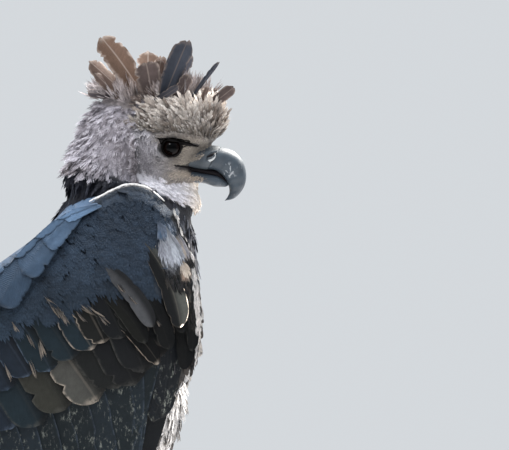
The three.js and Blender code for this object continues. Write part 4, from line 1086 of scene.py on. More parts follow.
# Rows of long feathers on the wing: where their roots lie, headings in degrees at a feather's start and end, length and
# half width from the front of the row to its rear, and how far out the row lies over the wing.
wingRows = {
    "secondaries": dict(count=13, root=[(156, 488), (-40, 374)], start=[-92, -52, -50], end=[-122, -116, -118],
                        length=[292, 292, 258], half=[25, 25, 25], tilt=0.1, layer=-1, step=0, thick=0.7),
    "greaterCoverts": dict(count=9, root=[(152, 484), (-36, 380)], start=[-76, -48, -50], end=[-88, -58, -64],
                           length=[106, 113, 98], half=[18, 24, 24], tilt=-0.1, layer=3.5, step=0, thick=0.7),
    "medianCoverts": dict(count=11, root=[(146, 488), (-42, 392)], start=[-70, -46, -54], end=[-80, -60, -66],
                          length=[78, 74, 68], half=[14, 17, 17], tilt=-0.09, layer=7, step=0, thick=0.6),
    "primaries": dict(count=10, root=[(171, 474), (184, 376)], start=[-88, -100, -118], end=[-124, -140, -150],
                      length=[300, 392, 335], half=[18, 17, 14], tilt=0.05, layer=-7, step=-1.1, thick=0.7),
    "primaryCoverts": dict(count=8, root=[(166, 466), (186, 388)], start=[-82, -92, -112], end=[-96, -108, -126],
                           length=[128, 118, 78], half=[12, 12, 9], tilt=0.08, layer=1, step=-0.6, thick=0.6),
    "alula": dict(count=4, root=[(168, 488), (183, 464)], start=[-76, -80, -84], end=[-84, -90, -94],
                  length=[96, 84, 62], half=[9, 8, 7], tilt=0.1, layer=5, step=-0.9, thick=0.6),
}
covertTones = {  # ground and fringe, feather by feather from the bend of the wing to its rear
    "greaterCoverts": ["ink brown", "ink brown", "ink ash", "ink ash", "dusk ash", "ash brownTrim", "olive ash",
                       "teal ash", "slateDark slateTrim"],
    "medianCoverts": ["ink brown", "ink brown", "dusk ash", "ink ash", "dusk brownTrim", "teal brownTrim",
                      "teal ash", "teal slateTrim", "slateDark slateTrim", "slateDark slate", "slateDark slate"],
}
vaneLooks = {
    "secondaries": featherMaterial("secondaryVanes", roughness=0.55, sheen=0.1, trimFrom=0.9, trimShare=0.3, shaft=0,
                                   barbs=60, fleck=0.75, rootShade=0.8),
    "greaterCoverts": featherMaterial("greaterCovertVanes", sheen=0.06, roughness=0.55, trimFrom=0.86, trimShare=0.55,
                                      shaft=0.1, barbs=44, rootShade=0.5, lean=1.0),
    "medianCoverts": featherMaterial("medianCovertVanes", sheen=0.06, roughness=0.55, trimFrom=0.88, trimShare=0.55,
                                     shaft=0.1, barbs=34, rootShade=0.45, lean=0.95),
    "primaries": featherMaterial("primaryVanes", sheen=0.06, roughness=0.45, trimFrom=0.93, trimShare=0.35, shaft=0.3,
                                 barbs=80, rootShade=0.8),
    "primaryCoverts": featherMaterial("primaryCovertVanes", sheen=0.06, roughness=0.5, trimFrom=0.92, trimShare=0.6,
                                      shaft=0.1, barbs=40, fleck=1.0, rootShade=0.6),
    "alula": featherMaterial("alulaVanes", roughness=0.5, trimFrom=0.8, trimShare=0.8, shaft=0.3, barbs=36,
                             rootShade=0.6),
}
wingNodes = {"secondaries": ("wing_forearm_right", "wing_forearm_left"),
             "primaries": ("wing_hand_right", "wing_hand_left")}


def threeWay(values, share):
    return float(np.interp(share, [0, 0.5, 1], values))


def ragged(pattern, rng, depth, nicks=4):  # the vane's half width where barbs have parted, and its worn tip
    a, edge = pattern["along"][0], pattern["edge"][0]
    width = np.ones(len(a))
    for side in (1, -1):
        for _ in range(rng.integers(1, nicks + 1)):
            at, wide = rng.uniform(0.3, 0.97), rng.uniform(0.008, 0.03)
            dip = depth * rng.uniform(0.3, 1) * np.exp(-(((a - at) - 0.05 * (1 - np.abs(edge))) / wide) ** 2)
            width -= np.where(edge * side > 0, dip, 0)
    worn = 0.5 + 0.5 * np.sin(edge * rng.uniform(5, 11) + rng.uniform(0, 6)) * np.sin(edge * rng.uniform(13, 23))
    return width, a - 0.035 * depth / 0.3 * worn * ramp(a, 0.75, 1)


def thinOut(t):  # a vane's thickness along its length
    return bladePattern["rise"][0] * np.sqrt(np.maximum(0.1, 1 - t))


def wingVane(row, share, side, rng):
    count = row["count"]
    root = np.array(row["root"][0]) + (np.array(row["root"][1]) - row["root"][0]) * share
    spread = 3.0 / count
    start = math.radians(threeWay(row["start"], share) + rng.normal(0, spread * 2))
    end = math.radians(threeWay(row["end"], share) + rng.normal(0, spread * 5))
    length = threeWay(row["length"], share) * rng.uniform(0.95, 1.03)
    width, t = ragged(bladePattern, rng, 0.3)
    now = mix(start, end, t)
    chord = length * t * np.sinc((now - start) / 2 / math.pi)
    heading = (start + now) / 2
    reach = bladePattern["across"][0] * width * threeWay(row["half"], share)
    x = root[0] + chord * np.cos(heading) - np.sin(now) * reach
    z = root[1] + chord * np.sin(heading) + np.cos(now) * reach
    layer = row["layer"] + row["step"] * share * (count - 1) + rng.normal(0, 0.2)
    out = wingOut(x, z) + layer + row["tilt"] * reach + row["thick"] * thinOut(t)
    return np.stack([x, side * out, np.maximum(z, 4)], 1)


def tonePair(names):
    return [palette[name] for name in names.split()]


def wingTones(name, share, rng):
    dark = mix(palette["slateDark"], palette["slate"], rng.uniform(0.0, 0.7))
    if name in covertTones:
        rows = covertTones[name]
        ground, fringe = tonePair(rows[int(round(share * (len(rows) - 1)))])
        return mix(ground, dark, 0.05), fringe
    if name == "alula":
        return mix(dark, palette["brown"], 0.5), palette["brownTrim"]
    if name == "secondaries":
        return mix(palette["greenBlack"], dark, 0.3), palette["slateTrim"]
    return mix(palette["ink"], dark, 0.2), palette["ash"]


for number, (name, row) in enumerate(wingRows.items()):
    rng = np.random.default_rng(40 + number)
    vanes, tones = [], []
    for side in (-1, 1):
        for share in np.arange(row["count"]) / (row["count"] - 1):
            vanes.append(wingVane(row, share, side, rng))
            tones.append(wingTones(name, share, rng))
    base, trim = np.array(tones).transpose(1, 0, 2)
    joinFeathers(name, np.array(vanes), bladePattern, np.zeros(len(vanes), int), base, trim, None,
                 vaneLooks[name], wingNodes.get(name, ()), np.repeat([False, True], row["count"]))
print("long wing feathers laid")

# Lesser coverts lie over the roots of the long rows like scales. Lines are broken lines on the bird's side.
scales = {
    "tries": 14000, "field": ((-105, 178), (345, 545)),
    "lower": [(-110, 352), (-60, 376), (-28, 391), (27, 421), (67, 441), (92, 451), (130, 447), (160, 462), (178, 470)],
    "cape": [(340, -120), (385, -50), (425, 0), (440, 20), (455, 31), (470, 45), (495, 55), (511, 62), (526, 98)],
    "heading": [(-80, -56), (40, -48), (120, -58), (165, -74), (178, -84)],
    "gap": (3.0, 9.0), "length": (12, 40), "half": (3.2, 11.5), "layer": 9.5, "rise": 1.3, "top": 16,
}


def coverTop(x):  # the wing's upper border, from the fore edge to the rear
    share = np.linspace(0, 1, 50)
    head = headingAt(wing["forearm"], share)
    half = along(wing["forearmHalf"], share)[:, None]
    edge = curveAt(wing["forearm"], share) + np.stack([-head[:, 1], head[:, 0]], 1) * half * 0.97
    return np.interp(x, edge[:, 0], edge[:, 1])


def layScales(side, rng):
    x, z = (rng.uniform(*limits, scales["tries"]) for limits in scales["field"])
    high = coverTop(x) - 2
    inside = (z > lineAt(scales["lower"], x)) & (z < high) & (x > lineAt(scales["cape"], z) - 6)
    x, z = x[inside], z[inside]
    grown = np.clip((high[inside] - z - 12) / 72, 0, 1) ** 1.2
    grown = np.maximum(grown, ramp(x, 40, -60) * 0.8)
    kept = spaced(np.stack([x, 0 * x, z], 1), mix(*scales["gap"], grown))
    kept = np.array(kept)[np.argsort(z[kept])]
    x, z, grown = x[kept], z[kept], grown[kept]
    n = len(x)
    heading = np.radians(lineAt(scales["heading"], x) + rng.normal(0, 7, n))
    cos, sin = np.cos(heading), np.sin(heading)
    length = mix(*scales["length"], grown) * rng.uniform(0.85, 1.15, n)
    half = mix(*scales["half"], grown) * rng.uniform(0.9, 1.12, n)
    kinds = rng.integers(0, len(coverPattern["along"]), n)
    a, across, swell = (coverPattern[key][kinds] for key in ("along", "across", "rise"))
    reach, run = across * half[:, None], a * length[:, None]
    px = x[:, None] + run * cos[:, None] - reach * sin[:, None]
    pz = z[:, None] + run * sin[:, None] + reach * cos[:, None]
    layer = scales["layer"] * ramp(np.maximum(coverTop(px) - pz, 0), -2, scales["top"]) - 2
    ends = []
    for s in (0.0, 0.5, 1.0):
        ends.append([skinSide(u, v, side, 0) for u, v in zip(x + length * s * cos, z + length * s * sin)])
    low, middle, far = np.array(ends)[..., None]
    over = np.where(a < 0.5, mix(low, middle, a * 2), mix(middle, far, a * 2 - 1))
    raised = scales["rise"] * a * rng.uniform(0.8, 1.15, n)[:, None] + 0.35 * swell
    raised = raised + reach * rng.normal(-0.04, 0.02, n)[:, None]
    out = np.maximum(wingOut(px, pz) + layer, over + 0.6) + raised
    roots = np.stack([x, side * (wingOut(x, z) + 6), z], 1)
    pick = 0.3 + 0.4 * rng.random(n)[:, None]
    patch = noiseAt(np.stack([x, 0 * x + side * 90, z], 1), 14, 2)[:, None]
    # painted blue sheen, a sky reflection, stronger towards the rear of the wing
    blue = np.clip(ramp(x, 130, 20)[:, None] * 0.6 + patch * 0.5, 0, 1)
    fore = (ramp(x, 150, 176) * ramp(z, 520, 490))[:, None]
    high, low = mix(palette["slateDark"], palette["slate"], pick), mix(palette["slateDark"], palette["teal"], pick)
    base = mix(mix(high, low, ramp(z, 500, 400)[:, None]), palette["blue"], blue * 0.3)
    trim = mix(mix(palette["slateTrim"], base, 0.5 + 0.6 * pick), palette["brownTrim"], fore * 0.5)
    base = mix(base, palette["brown"], fore * 0.6)
    return np.stack([px, side * out, pz], 2), kinds, base, trim, roots, np.full(n, side > 0)


def bothSides(lay, seed):
    rng = np.random.default_rng(seed)
    return (np.concatenate(pair) for pair in zip(lay(-1, rng), lay(1, rng)))


points, kinds, base, trim, roots, flips = bothSides(layScales, 70)
covertLook = featherMaterial("softCoverts", roughness=0.6, trimFrom=0.55, trimShare=0.25, shaft=0, barbs=7,
                             rootShade=0.62, bump=0.5)
joinFeathers("lesserCoverts", points, coverPattern, kinds, base, trim, bakeNear(roots), covertLook, (),
             flips)

# Scapulars drape from the back over the wing's upper border: root and tip on the bird's side, half width, layer and how
# much painted blue sheen (a sky reflection) each one carries.
cape = {
    "outline": [(-150, 354), (-136, 364), (-100, 396), (-50, 432), (0, 466), (24, 483), (45, 499), (68, 519),
                (98, 525)],
    "fall": 30, "ridge": 30,
    "feathers": [(104, 527, 66, 509, 9, 15.2, 2.2), (84, 517, 48, 483, 12, 14.6, 1.1),
                 (66, 504, 28, 455, 15, 13.8, 0.75), (44, 488, 4, 425, 19, 13, 0.55),
                 (16, 466, -32, 398, 20, 12.2, 0.6), (-8, 448, -60, 378, 20, 11.6, 0.7),
                 (-34, 430, -88, 360, 19, 11, 0.6), (-58, 412, -116, 346, 18, 10.4, 0.65),
                 (100, 532, 58, 513, 9, 17, 1.9), (78, 524, 36, 494, 12, 16.6, 1.3),
                 (56, 512, 12, 474, 14, 16.2, 1.05), (30, 496, -16, 454, 16, 15.8, 1.1),
                 (4, 478, -44, 436, 17, 15.4, 0.8), (-22, 460, -70, 414, 18, 15, 0.9),
                 (-48, 440, -98, 392, 18, 14.6, 0.7), (-74, 420, -124, 370, 17, 14.2, 0.8)],
}
planeThick = 0.7


def capeFold(x, z, layer):  # a flat sheet laid over the wing and bent inward over the back
    top = lineAt(cape["outline"], x) - 1 + layer * 0.1
    bend = np.clip((z - (top - cape["fall"])) / cape["fall"] * 1.25, 0, 2.2)
    outer = wingOut(x, np.minimum(z, top)) + layer
    z = np.where(bend > 0, top - cape["fall"] + cape["fall"] * np.sin(bend), z)
    out = cape["ridge"] + (outer - cape["ridge"]) * np.cos(bend)
    clear = 4 + (layer - 10) * 0.6
    for i, (u, v, w) in enumerate(zip(x, out, z)):  # kept clear of the small feathers
        if bend[i] < 1.6:
            out[i] = max(v, max(skinSide(u, w + d, -1, 0) for d in (-4, -1.5, 1, 3)) + clear)
            continue
        hit, normal, _, _ = skinTree.find_nearest(Vector((u, v, w)))
        if (Vector((u, v, w)) - hit).dot(normal) < clear:
            lifted = hit + normal * clear
            out[i], z[i] = lifted.y, lifted.z
    return out, z


def flatFold(x, z, layer):
    return wingOut(x, z) + layer, z


def planeVane(feather, side, rng, surface, bend, depth, rise):  # a vane from root to tip over a surface
    x0, z0, x1, z1, half, layer = feather[:6]
    width, t = ragged(bladePattern, rng, depth)
    length = math.hypot(x1 - x0, z1 - z0)
    ahead = np.array([x1 - x0, z1 - z0]) / length
    reach = bladePattern["across"][0] * width * half + bend * length * 4 * t * (1 - t)
    x = x0 + ahead[0] * t * length - ahead[1] * reach
    z = z0 + ahead[1] * t * length + ahead[0] * reach
    out, z = surface(x, z, layer)
    return np.stack([x, side * (out + planeThick * thinOut(t) + rise * t), z], 1)


def joinVanes(name, feathers, tones, surface, material, seed, bend, depth, rise=1.5):
    rng = np.random.default_rng(seed)
    vanes = [planeVane(f, side, rng, surface, bend, depth, rise) for side in (-1, 1) for f in feathers]
    base, trim = np.array(tones * 2).transpose(1, 0, 2)
    joinFeathers(name, np.array(vanes), bladePattern, np.zeros(len(vanes), int), base, trim, None, material, (),
                 np.repeat([False, True], len(feathers)))


capeLook = featherMaterial("scapularVanes", roughness=0.42, sheen=0.3, trimFrom=0.84, trimShare=0.75, shaft=0.05,
                           barbs=30, rootShade=0.6, bump=0.5)
capeTones = [(mix(palette["slateDark"], palette["blue"], row[6]), palette["slateDark"]) for row in cape["feathers"]]
joinVanes("scapulars", cape["feathers"], capeTones, capeFold, capeLook, 80, bend=-0.05, depth=0.2)

# Single feathers at the bend of the wing: root, tip, half width, layer, ground and fringe.
foreEdge = [
    (103, 468, 155, 404, 9, 7.4, "mist ash"), (96, 450, 148, 388, 9, 6, "dusk ash"),
    (106, 424, 161, 368, 9, 4.5, "ink brownTrim"), (140, 446, 171, 382, 9.5, 6.5, "ink ash"),
    (187, 468, 191, 428, 1.8, 6, "ash brownTrim"), (168, 448, 184, 398, 7, 5.5, "ink ash"),
    (186, 436, 193, 380, 6, 3.5, "ink ash"), (176, 420, 186, 362, 8, 3, "ink ink"),
]
thumb = [(144, 490, 182, 403, 11.5, 7.6, "ink brownTrim")]  # the biggest, and pale on its front half only
foreLook = featherMaterial("bendVanes", roughness=0.8, sheen=0.06, trimFrom=0.88, trimShare=0.6, shaft=0.06, barbs=24,
                           rootShade=0.6, lean=1.15, bump=0.5)
thumbLook = featherMaterial("thumbVane", roughness=0.7, trimFrom=0.96, trimShare=0.5, shaft=0.1, barbs=30,
                            rootShade=0.5, lean=-42.0, bump=0.5)
joinVanes("foreEdgeFeathers", foreEdge, [tonePair(row[6]) for row in foreEdge], flatFold, foreLook, 81,
          bend=0.06, depth=0.2, rise=7)
joinVanes("thumbFeather", thumb, [tonePair(row[6]) for row in thumb], flatFold, thumbLook, 86,
          bend=0.08, depth=0.2, rise=6)

# Small feathers of the bend: a pale line down its front and pale patches by centre, radii, tone and share. The lists of
# pairs go by height.
bend = {
    "tries": 16000, "field": ((152, 206), (372, 524)), "gap": 1.9, "length": 13, "half": 2.0,
    "line": [(372, 197), (402, 201.4), (420, 200.8), (452, 197), (475, 193.3), (490, 188.3), (500, 182), (515, 177.5),
             (524, 174)],
    "wide": [(372, 1.2), (395, 2.4), (405, 4.8), (458, 4.6), (468, 1.4), (500, 1.2), (524, 1.0)],
    "rear": [(370, 192), (400, 190), (440, 184), (455, 166), (490, 160), (510, 163), (524, 180)],
    "heading": [(370, -98), (420, -84), (480, -72), (520, -66)], "layer": [(370, 3), (400, 6), (450, 11), (520, 8)],
    "patches": [((168, 498), (9, 13), "bendBlue", 0.8), ((174, 475), (9.5, 16), "bendGrey", 0.9),
                ((187, 458), (4, 8), "bendBuff", 0.8), ((186, 517), (7, 6), "bendCream", 0.8)],
}


def layOver(side, x, z, heading, length, half, layer, pattern, kinds, rng):  # tufts on the wing's outer side
    n = len(x)
    roots = np.stack([x, side * (wingOut(x, z) + layer), z], 1)
    tipX, tipZ = x + length * np.cos(heading), z + length * np.sin(heading)
    tips = np.stack([tipX, side * (wingOut(tipX, tipZ) + layer + 1.6), tipZ], 1)
    ways = unit(tips - roots)
    outs = np.repeat(np.array([[0.25, side * 1.0, 0]]), n, 0)
    outs = unit(outs - ways * np.sum(outs * ways, 1, keepdims=True))
    curls = rng.normal(0, 0.08, n)
    return layFeathers(pattern, kinds, roots, ways, outs, length, half, 0.5, np.full(n, 0.04), curls, 0.15), roots


def layBend(side, rng):
    x, z = (rng.uniform(*limits, bend["tries"]) for limits in bend["field"])
    front, wide = lineAt(bend["line"], z), lineAt(bend["wide"], z)
    inside = (x < front) & (x > np.minimum(lineAt(bend["rear"], z), front - wide))
    x, z, onLine = x[inside], z[inside], (front - x < wide)[inside]
    kept = spaced(np.stack([x, 0 * x, z], 1), np.where(onLine, 1.0, bend["gap"]))
    x, z, onLine = x[kept], z[kept], onLine[kept]
    n = len(x)
    pick = rng.random(n)[:, None]
    base = mix(palette["ink"], palette["brown"] * 0.6, pick * 0.7)
    trim = mix(palette["ink"], palette["brown"], pick)
    for (cx, cz), (rx, rz), shade, share in bend["patches"]:
        near = share * ramp(np.hypot((x + 3 - cx) / rx, (z - 5 - cz) / rz), 1.3, 0.5)[:, None]
        base = mix(base, palette[shade] * mix(0.4, 1.2, pick), near)
        trim = mix(trim, palette["whiteTrim"] * 0.8, near * (pick > 0.3))
    white = (onLine & (rng.random(n) > 0.08))[:, None]
    base = np.where(white, palette["white"] * mix(0.85, 1.2, pick), base)
    trim = np.where(white, palette["whiteTrim"], trim)
    heading = np.radians(lineAt(bend["heading"], z) + rng.normal(0, 6, n))
    above, below = (lineAt(bend["line"], z + d) for d in (4, -4))
    heading = np.where(onLine, np.arctan2(-8, below - above) + rng.normal(0, 0.05, n), heading)
    length = bend["length"] * np.where(onLine, 0.75, 1) * rng.uniform(0.8, 1.25, n)
    half = np.where(onLine, 0.75, bend["half"]) * rng.uniform(0.8, 1.2, n)
    layer = lineAt(bend["layer"], z) + onLine * 1.2
    kinds = rng.integers(0, len(softPattern["along"]), n)
    points, roots = layOver(side, x, z, heading, length, half, layer, softPattern, kinds, rng)
    return points, kinds, base, trim, roots


points, kinds, base, trim, roots = bothSides(layBend, 82)
bendLook = featherMaterial("softBendFeathers", roughness=0.85, trimFrom=0.3, trimShare=0.6, shaft=0, barbs=5,
                           rootShade=0.5)
joinFeathers("bendFeathers", points, softPattern, kinds, base, trim, bakeNear(roots), bendLook)

# Tufts by root, tip, half width, layer, tones and copies: pale ones at the bend, and parted barbs that catch the light.
tufts = [(160, 511, 168, 484, 6, 11, "blue frost", 2), (165, 505, 173, 478, 6, 11.6, "mist pale", 2),
         (163, 494, 170, 463, 5.5, 12, "frost pale", 2), (168, 500, 177, 461, 6.5, 12.6, "frost pale", 3),
         (172, 498, 183, 464, 5, 12.2, "mist pale", 2), (177, 500, 191, 463, 5, 11.6, "frost brownTrim", 2),
         (181, 470, 189, 451, 4, 12, "brownTrim crestPale", 2)]
tufts += [(*line, 10.5, "olive brownTrim", 3) for line in
          [(84, 427, 98, 414, 1), (90, 425, 105, 413, 0.8), (80, 421, 90, 408, 0.7), (54, 428, 66, 413, 1),
           (59, 426, 73, 411, 0.9), (64, 421, 72, 406, 0.7), (48, 436, 58, 424, 0.6), (100, 418, 110, 406, 0.7),
           (30, 400, 40, 384, 0.7), (34, 372, 44, 352, 0.9), (42, 392, 50, 372, 1), (9, 368, 17, 350, 0.8),
           (14, 410, 24, 398, 0.7), (130, 436, 141, 424, 0.6), (120, 448, 128, 436, 0.6), (158, 412, 163, 404, 0.5)]]


def layTufts(side, rng):
    copies = [row for row in tufts for _ in range(row[7])]
    x, z, tipX, tipZ, half, layer = np.array([row[:6] for row in copies], float).T
    low, high = np.array([tonePair(row[6]) for row in copies]).transpose(1, 0, 2)
    n = len(x)
    x, z = x + rng.normal(0, 1.2, n), z + rng.normal(0, 1.2, n)
    heading = np.arctan2(tipZ - z, tipX - x) + rng.normal(0, 0.08, n)
    kinds = rng.integers(0, len(coverPattern["along"]), n)
    length = np.hypot(tipX - x, tipZ - z) * rng.uniform(0.85, 1.1, n)
    points, roots = layOver(side, x, z, heading, length, half, layer + rng.uniform(0, 1, n), coverPattern, kinds, rng)
    pick = rng.random(n)[:, None]
    return points, kinds, mix(low, high, pick), mix(high, low, pick * 0.5), roots


points, kinds, base, trim, roots = bothSides(layTufts, 87)
joinFeathers("paleTufts", points, coverPattern, kinds, base, trim, bakeNear(roots), bendLook)


# painted highlight: white feathers along the top of the folded wing stand for light from behind shining through their
# edges
def rimRows():  # a white rim along the top of the folded wing
    rng = np.random.default_rng(84)
    rows = []
    for x in np.arange(98, 170, 1.5):
        if rng.random() < 0.25:
            continue
        z = float(coverTop(x)) + rng.uniform(-0.5, 0.5)
        slope = float(coverTop(x) - coverTop(x - 8))
        rows.append((x, z, x - 6.5, z - slope * 0.85 - 0.3, 0.75, 2.6))
    return rows


def rimFold(x, z, layer):
    over = np.array([skinSide(u, v - 5, -1, 100) for u, v in zip(x, z)])
    return np.maximum(over, over.max() - 3) + layer, z


rim = rimRows()
rimLook = featherMaterial("rimHighlightFeathers", roughness=0.8, trimFrom=0.5, trimShare=0.5, shaft=0, barbs=6, rootShade=0.9)
joinVanes("rimHighlightFeathers", rim, [(palette["white"] * 0.8, palette["whiteTrim"])] * len(rim), rimFold,
          rimLook, 83, bend=0.0, depth=0.1)

tail = {"pairs": 6, "length": 402, "half": 27, "drop": 1.4, "rootStep": 3.4, "tipStep": 9.5, "bow": 10, "thick": 0.8}


def layTail():
    rng = np.random.default_rng(60)
    pitch = math.radians(body["tailPitch"])
    way = np.array([-math.cos(pitch), 0, -math.sin(pitch)])
    out = np.array([-math.sin(pitch), 0, math.cos(pitch)])
    vanes = []
    for pair in range(tail["pairs"]):
        for side in (1, -1):
            layer = -tail["drop"] * (2 * pair + (0 if side > 0 else 1))
            width, t = ragged(bladePattern, rng, 0.15)
            reach = bladePattern["across"][0] * width * tail["half"]
            y = mix(side * (4 + tail["rootStep"] * pair), side * (5 + tail["tipStep"] * pair), t) + reach
            lift = layer - (tail["bow"] * t**2 + (y / 60) ** 2 * 5) + tail["thick"] * thinOut(t)
            run = tail["length"] * (1 - 0.012 * pair) * t
            spots = np.array(body["tailRoot"]) + way * run[:, None] + out * lift[:, None]
            vanes.append(spots + np.stack([0 * y, y, 0 * y], 1))
    n = len(vanes)
    material = featherMaterial("barredTailVanes", roughness=0.5, trimFrom=0.95, trimShare=0.3, shaft=0.2, barbs=90,
                               bars=4.2, barShare=0.7, rootShade=0.8)
    base = np.repeat(mix(palette["black"], palette["slateDark"], 0.4)[None], n, 0)
    trim = np.repeat(palette["tailBar"][None], n, 0)
    joinFeathers("tailFeathers", np.array(vanes), bladePattern, np.zeros(n, int), base, trim, None,
                 material, ("tail",), np.ones(n, bool))


layTail()

crest = {  # root x and z, tip x and z, half width, sideways curl, tone from buff to slate
    "right": [(137, 644, 106, 698, 13, 0.25, 0.15), (120, 640, 90, 672, 8.5, 0.22, 0.55),
              (104, 635, 86, 636, 5, 0, 1.5), (151, 642, 146, 672, 12.5, 0.05, 1.1),
              (156, 641, 160, 672, 7, 0, 0.6), (166, 637, 188, 693, 11.5, 0.03, 2),
              (180, 638, 193, 655, 6.5, 0.2, 1.2), (160, 631, 186, 643, 4, 0.3, 1.8),
              (196, 638, 217, 671, 2.6, -0.1, 2), (214, 627, 236, 644, 6, 0.05, 1.1),
              (114, 637, 94, 660, 5, 0.2, 0.7), (204, 634, 208, 646, 3, 0, 0.8)],
    "left": [(132, 643, 112, 684, 9, 0.3, 0.4), (122, 636, 99, 658, 7, 0.2, 0.6), (108, 633, 92, 640, 5, 0, 1.2),
             (147, 644, 149, 687, 11, 0.1, 0.2), (157, 642, 160, 676, 8, 0, 0.4), (170, 640, 190, 680, 9, 0, 1.8),
             (184, 637, 197, 655, 5, 0.2, 1.4), (216, 626, 231, 641, 5, 0, 0.9)],
    "sunk": 9, "thick": 0.7,
}


def layCrest():
    rng = np.random.default_rng(90)
    rows = []
    for side, name in ((1, "left"), (-1, "right")):
        for i, (x, z, tipX, tipZ, half, curl, shade) in enumerate(crest[name]):
            heading = np.array([tipX - x, 0, tipZ - z], float)
            length = np.linalg.norm(heading) + crest["sunk"]
            heading /= np.linalg.norm(heading)
            y = side * min(26, max(6, 34 - abs(x - 140) * 0.3))
            root = np.array([x, y, z]) - heading * crest["sunk"]
            heading[1] = (0.02 + 0.13 * (i % 4)) * side
            way = unit(heading)
            out = np.array([0.0, side, 0.0])
            out = unit(out - way * (out @ way))
            twist = (0.25 if i % 3 == 0 else 0.5) * side
            out = out * math.cos(twist) + np.cross(out, way) * math.sin(twist)
            width, t = ragged(bladePattern, rng, 0.24, 8)
            base = mix(palette["crestBuff"], palette["crestSlate"], min(shade / 2, 1))
            trim = mix(palette["crestPale"], palette["crestDusk"], min(shade / 2, 1))
            rows.append((root, way, out, length, half, -curl * 0.5 * side, base, trim, width, t))
    roots, ways, outs, lengths, halves, curls, bases, trims, widths, runs = (np.array(column) for column in zip(*rows))
    n = len(rows)
    pattern = {key: np.repeat(bladePattern[key], n, 0) for key in ("along", "edge", "across", "rise")}
    pattern["across"] = pattern["across"] * widths
    worn = 1 - 0.06 * ramp(pattern["along"], 0.6, 1) * np.abs(np.sin(pattern["edge"] * 7 + np.arange(n)[:, None] * 2.1))
    pattern["along"] = runs * worn
    pattern["faces"] = bladePattern["faces"]
    points = layFeathers(pattern, np.arange(n), roots, ways, outs, lengths, halves * 1.05, crest["thick"],
                         np.full(n, -0.08), curls, 0.12)
    material = featherMaterial("crestVanes", roughness=0.7, trimFrom=0.72, trimShare=0.6, shaft=0.35, barbs=26,
                               rootShade=0.75, lean=0.3)
    joinFeathers("crestFeathers", points, pattern, np.arange(n), bases, trims, None, material)


layCrest()
print("scapulars, tail and crest laid")


def cutAtCere(bm, keepFront):
    lean = math.radians(bill["cereLean"])
    way = Vector((math.cos(lean), 0, math.sin(lean)))
    at = Vector((bill["cereAt"][0], 0, bill["cereAt"][1])) + way * (0.2 if keepFront else -0.2)
    cut = bmesh.ops.bisect_plane(bm, geom=bm.verts[:] + bm.edges[:] + bm.faces[:], plane_co=at, plane_no=way,
                                 clear_inner=keepFront, clear_outer=not keepFront)
    edges = [e for e in cut["geom_cut"] if isinstance(e, bmesh.types.BMEdge)]
    bmesh.ops.holes_fill(bm, edges=edges)


def hornMaterial(name, ground, pale, roughness, scuff, bump, scuffAt=None, gleam=True):
    material, tree, surface = newMaterial(name, Roughness=roughness, Coat_Weight=0.05 * gleam, Coat_Roughness=0.4)
    if not gleam:
        surface.inputs["Specular IOR Level"].default_value = 0.1
    broad = objectNoise(tree, 60.0, 4.0, 0.6)
    fine = objectNoise(tree, 420.0, 3.0, 0.7, (1, 1, 0.5))
    colour = blendColour(tree, smoothMask(tree, broad, 0.3, 0.75), ground, tuple(0.62 * c for c in ground[:3]) + (1,))
    worn = times(tree, smoothMask(tree, fine, 0.6, 0.72), smoothMask(tree, broad, 0.5, 0.7))
    if scuffAt:  # scratches gather round one place on the side
        cuts = smoothMask(tree, objectNoise(tree, 330.0, 2.0, 0.5, (1.0, 1, 0.55)), 0.56, 0.64)
        close = smoothMask(tree, farFrom(tree, *scuffAt), 0.0105, 0.004)
        worn = reckon(tree, "MAXIMUM", worn, times(tree, cuts, close))
    colour = blendColour(tree, times(tree, worn, scuff), colour, pale)
    gloss = addNode(tree, "ShaderNodeMapRange", {"Value": fine, "To Min": roughness - 0.08, "To Max": roughness + 0.16})
    tree.links.new(gloss.outputs[0], surface.inputs["Roughness"])
    dress(tree, surface, colour, fine, bump, 0.0006)
    return material


billHorn = hornMaterial("slateHorn", rgba(64, 73, 81), rgba(186, 188, 190), 0.5, 0.6, 0.25, bill["scuffAt"])
cereSkin = hornMaterial("bareCere", rgba(72, 79, 85), rgba(112, 116, 120), 0.5, 0.4, 0.4)
clawHorn = hornMaterial("blackClaw", rgba(34, 35, 38), rgba(90, 90, 92), 0.3, 0.3, 0.1)
lidSkinAndShade = hornMaterial("darkLidSkinAndShade", rgba(19, 16, 15), rgba(60, 52, 48), 0.6, 0.3, 0.5, gleam=False)
# painted shade: the dark of the mouth's inside, its corners and the nostril slit, where they lie in shadow
mouthShade = hornMaterial("paintedMouthShade", rgba(30, 27, 29), rgba(60, 52, 52), 0.6, 0.2, 0.2, gleam=False)
nostrilHighlightLook = hornMaterial("paintedNostrilHighlight", rgba(232, 232, 230), rgba(246, 246, 244), 0.5, 0.2, 0.1)


def shapeCere():
    bm = bladeShell(bill["ridge"], bill["edge"], bill["half"], 96, 150, 0.46)
    cutAtCere(bm, False)
    tilt = math.radians(bill["nostrilTilt"])
    (atX, atZ), (long, short) = bill["nostril"], bill["nostrilSize"]
    for vert in bm.verts:
        dx, dz = vert.co.x - atX, vert.co.z - atZ
        a, b = dx * math.cos(tilt) + dz * math.sin(tilt), dz * math.cos(tilt) - dx * math.sin(tilt)
        far = math.hypot(a / long, b / short)
        swell = 0.5 * float(ramp(np.array(vert.co.x), 192, 204))
        if abs(vert.co.y) > 3:
            rim = 0.8 * math.exp(-((far - 1.5) / 0.4) ** 2)
            vert.co.y += math.copysign(swell + rim - 4.0 * float(ramp(np.array(far), 1.1, 0.5)), vert.co.y)
        vert.co.z += swell * (0.8 if vert.co.z > 575 else 0)
    return bm


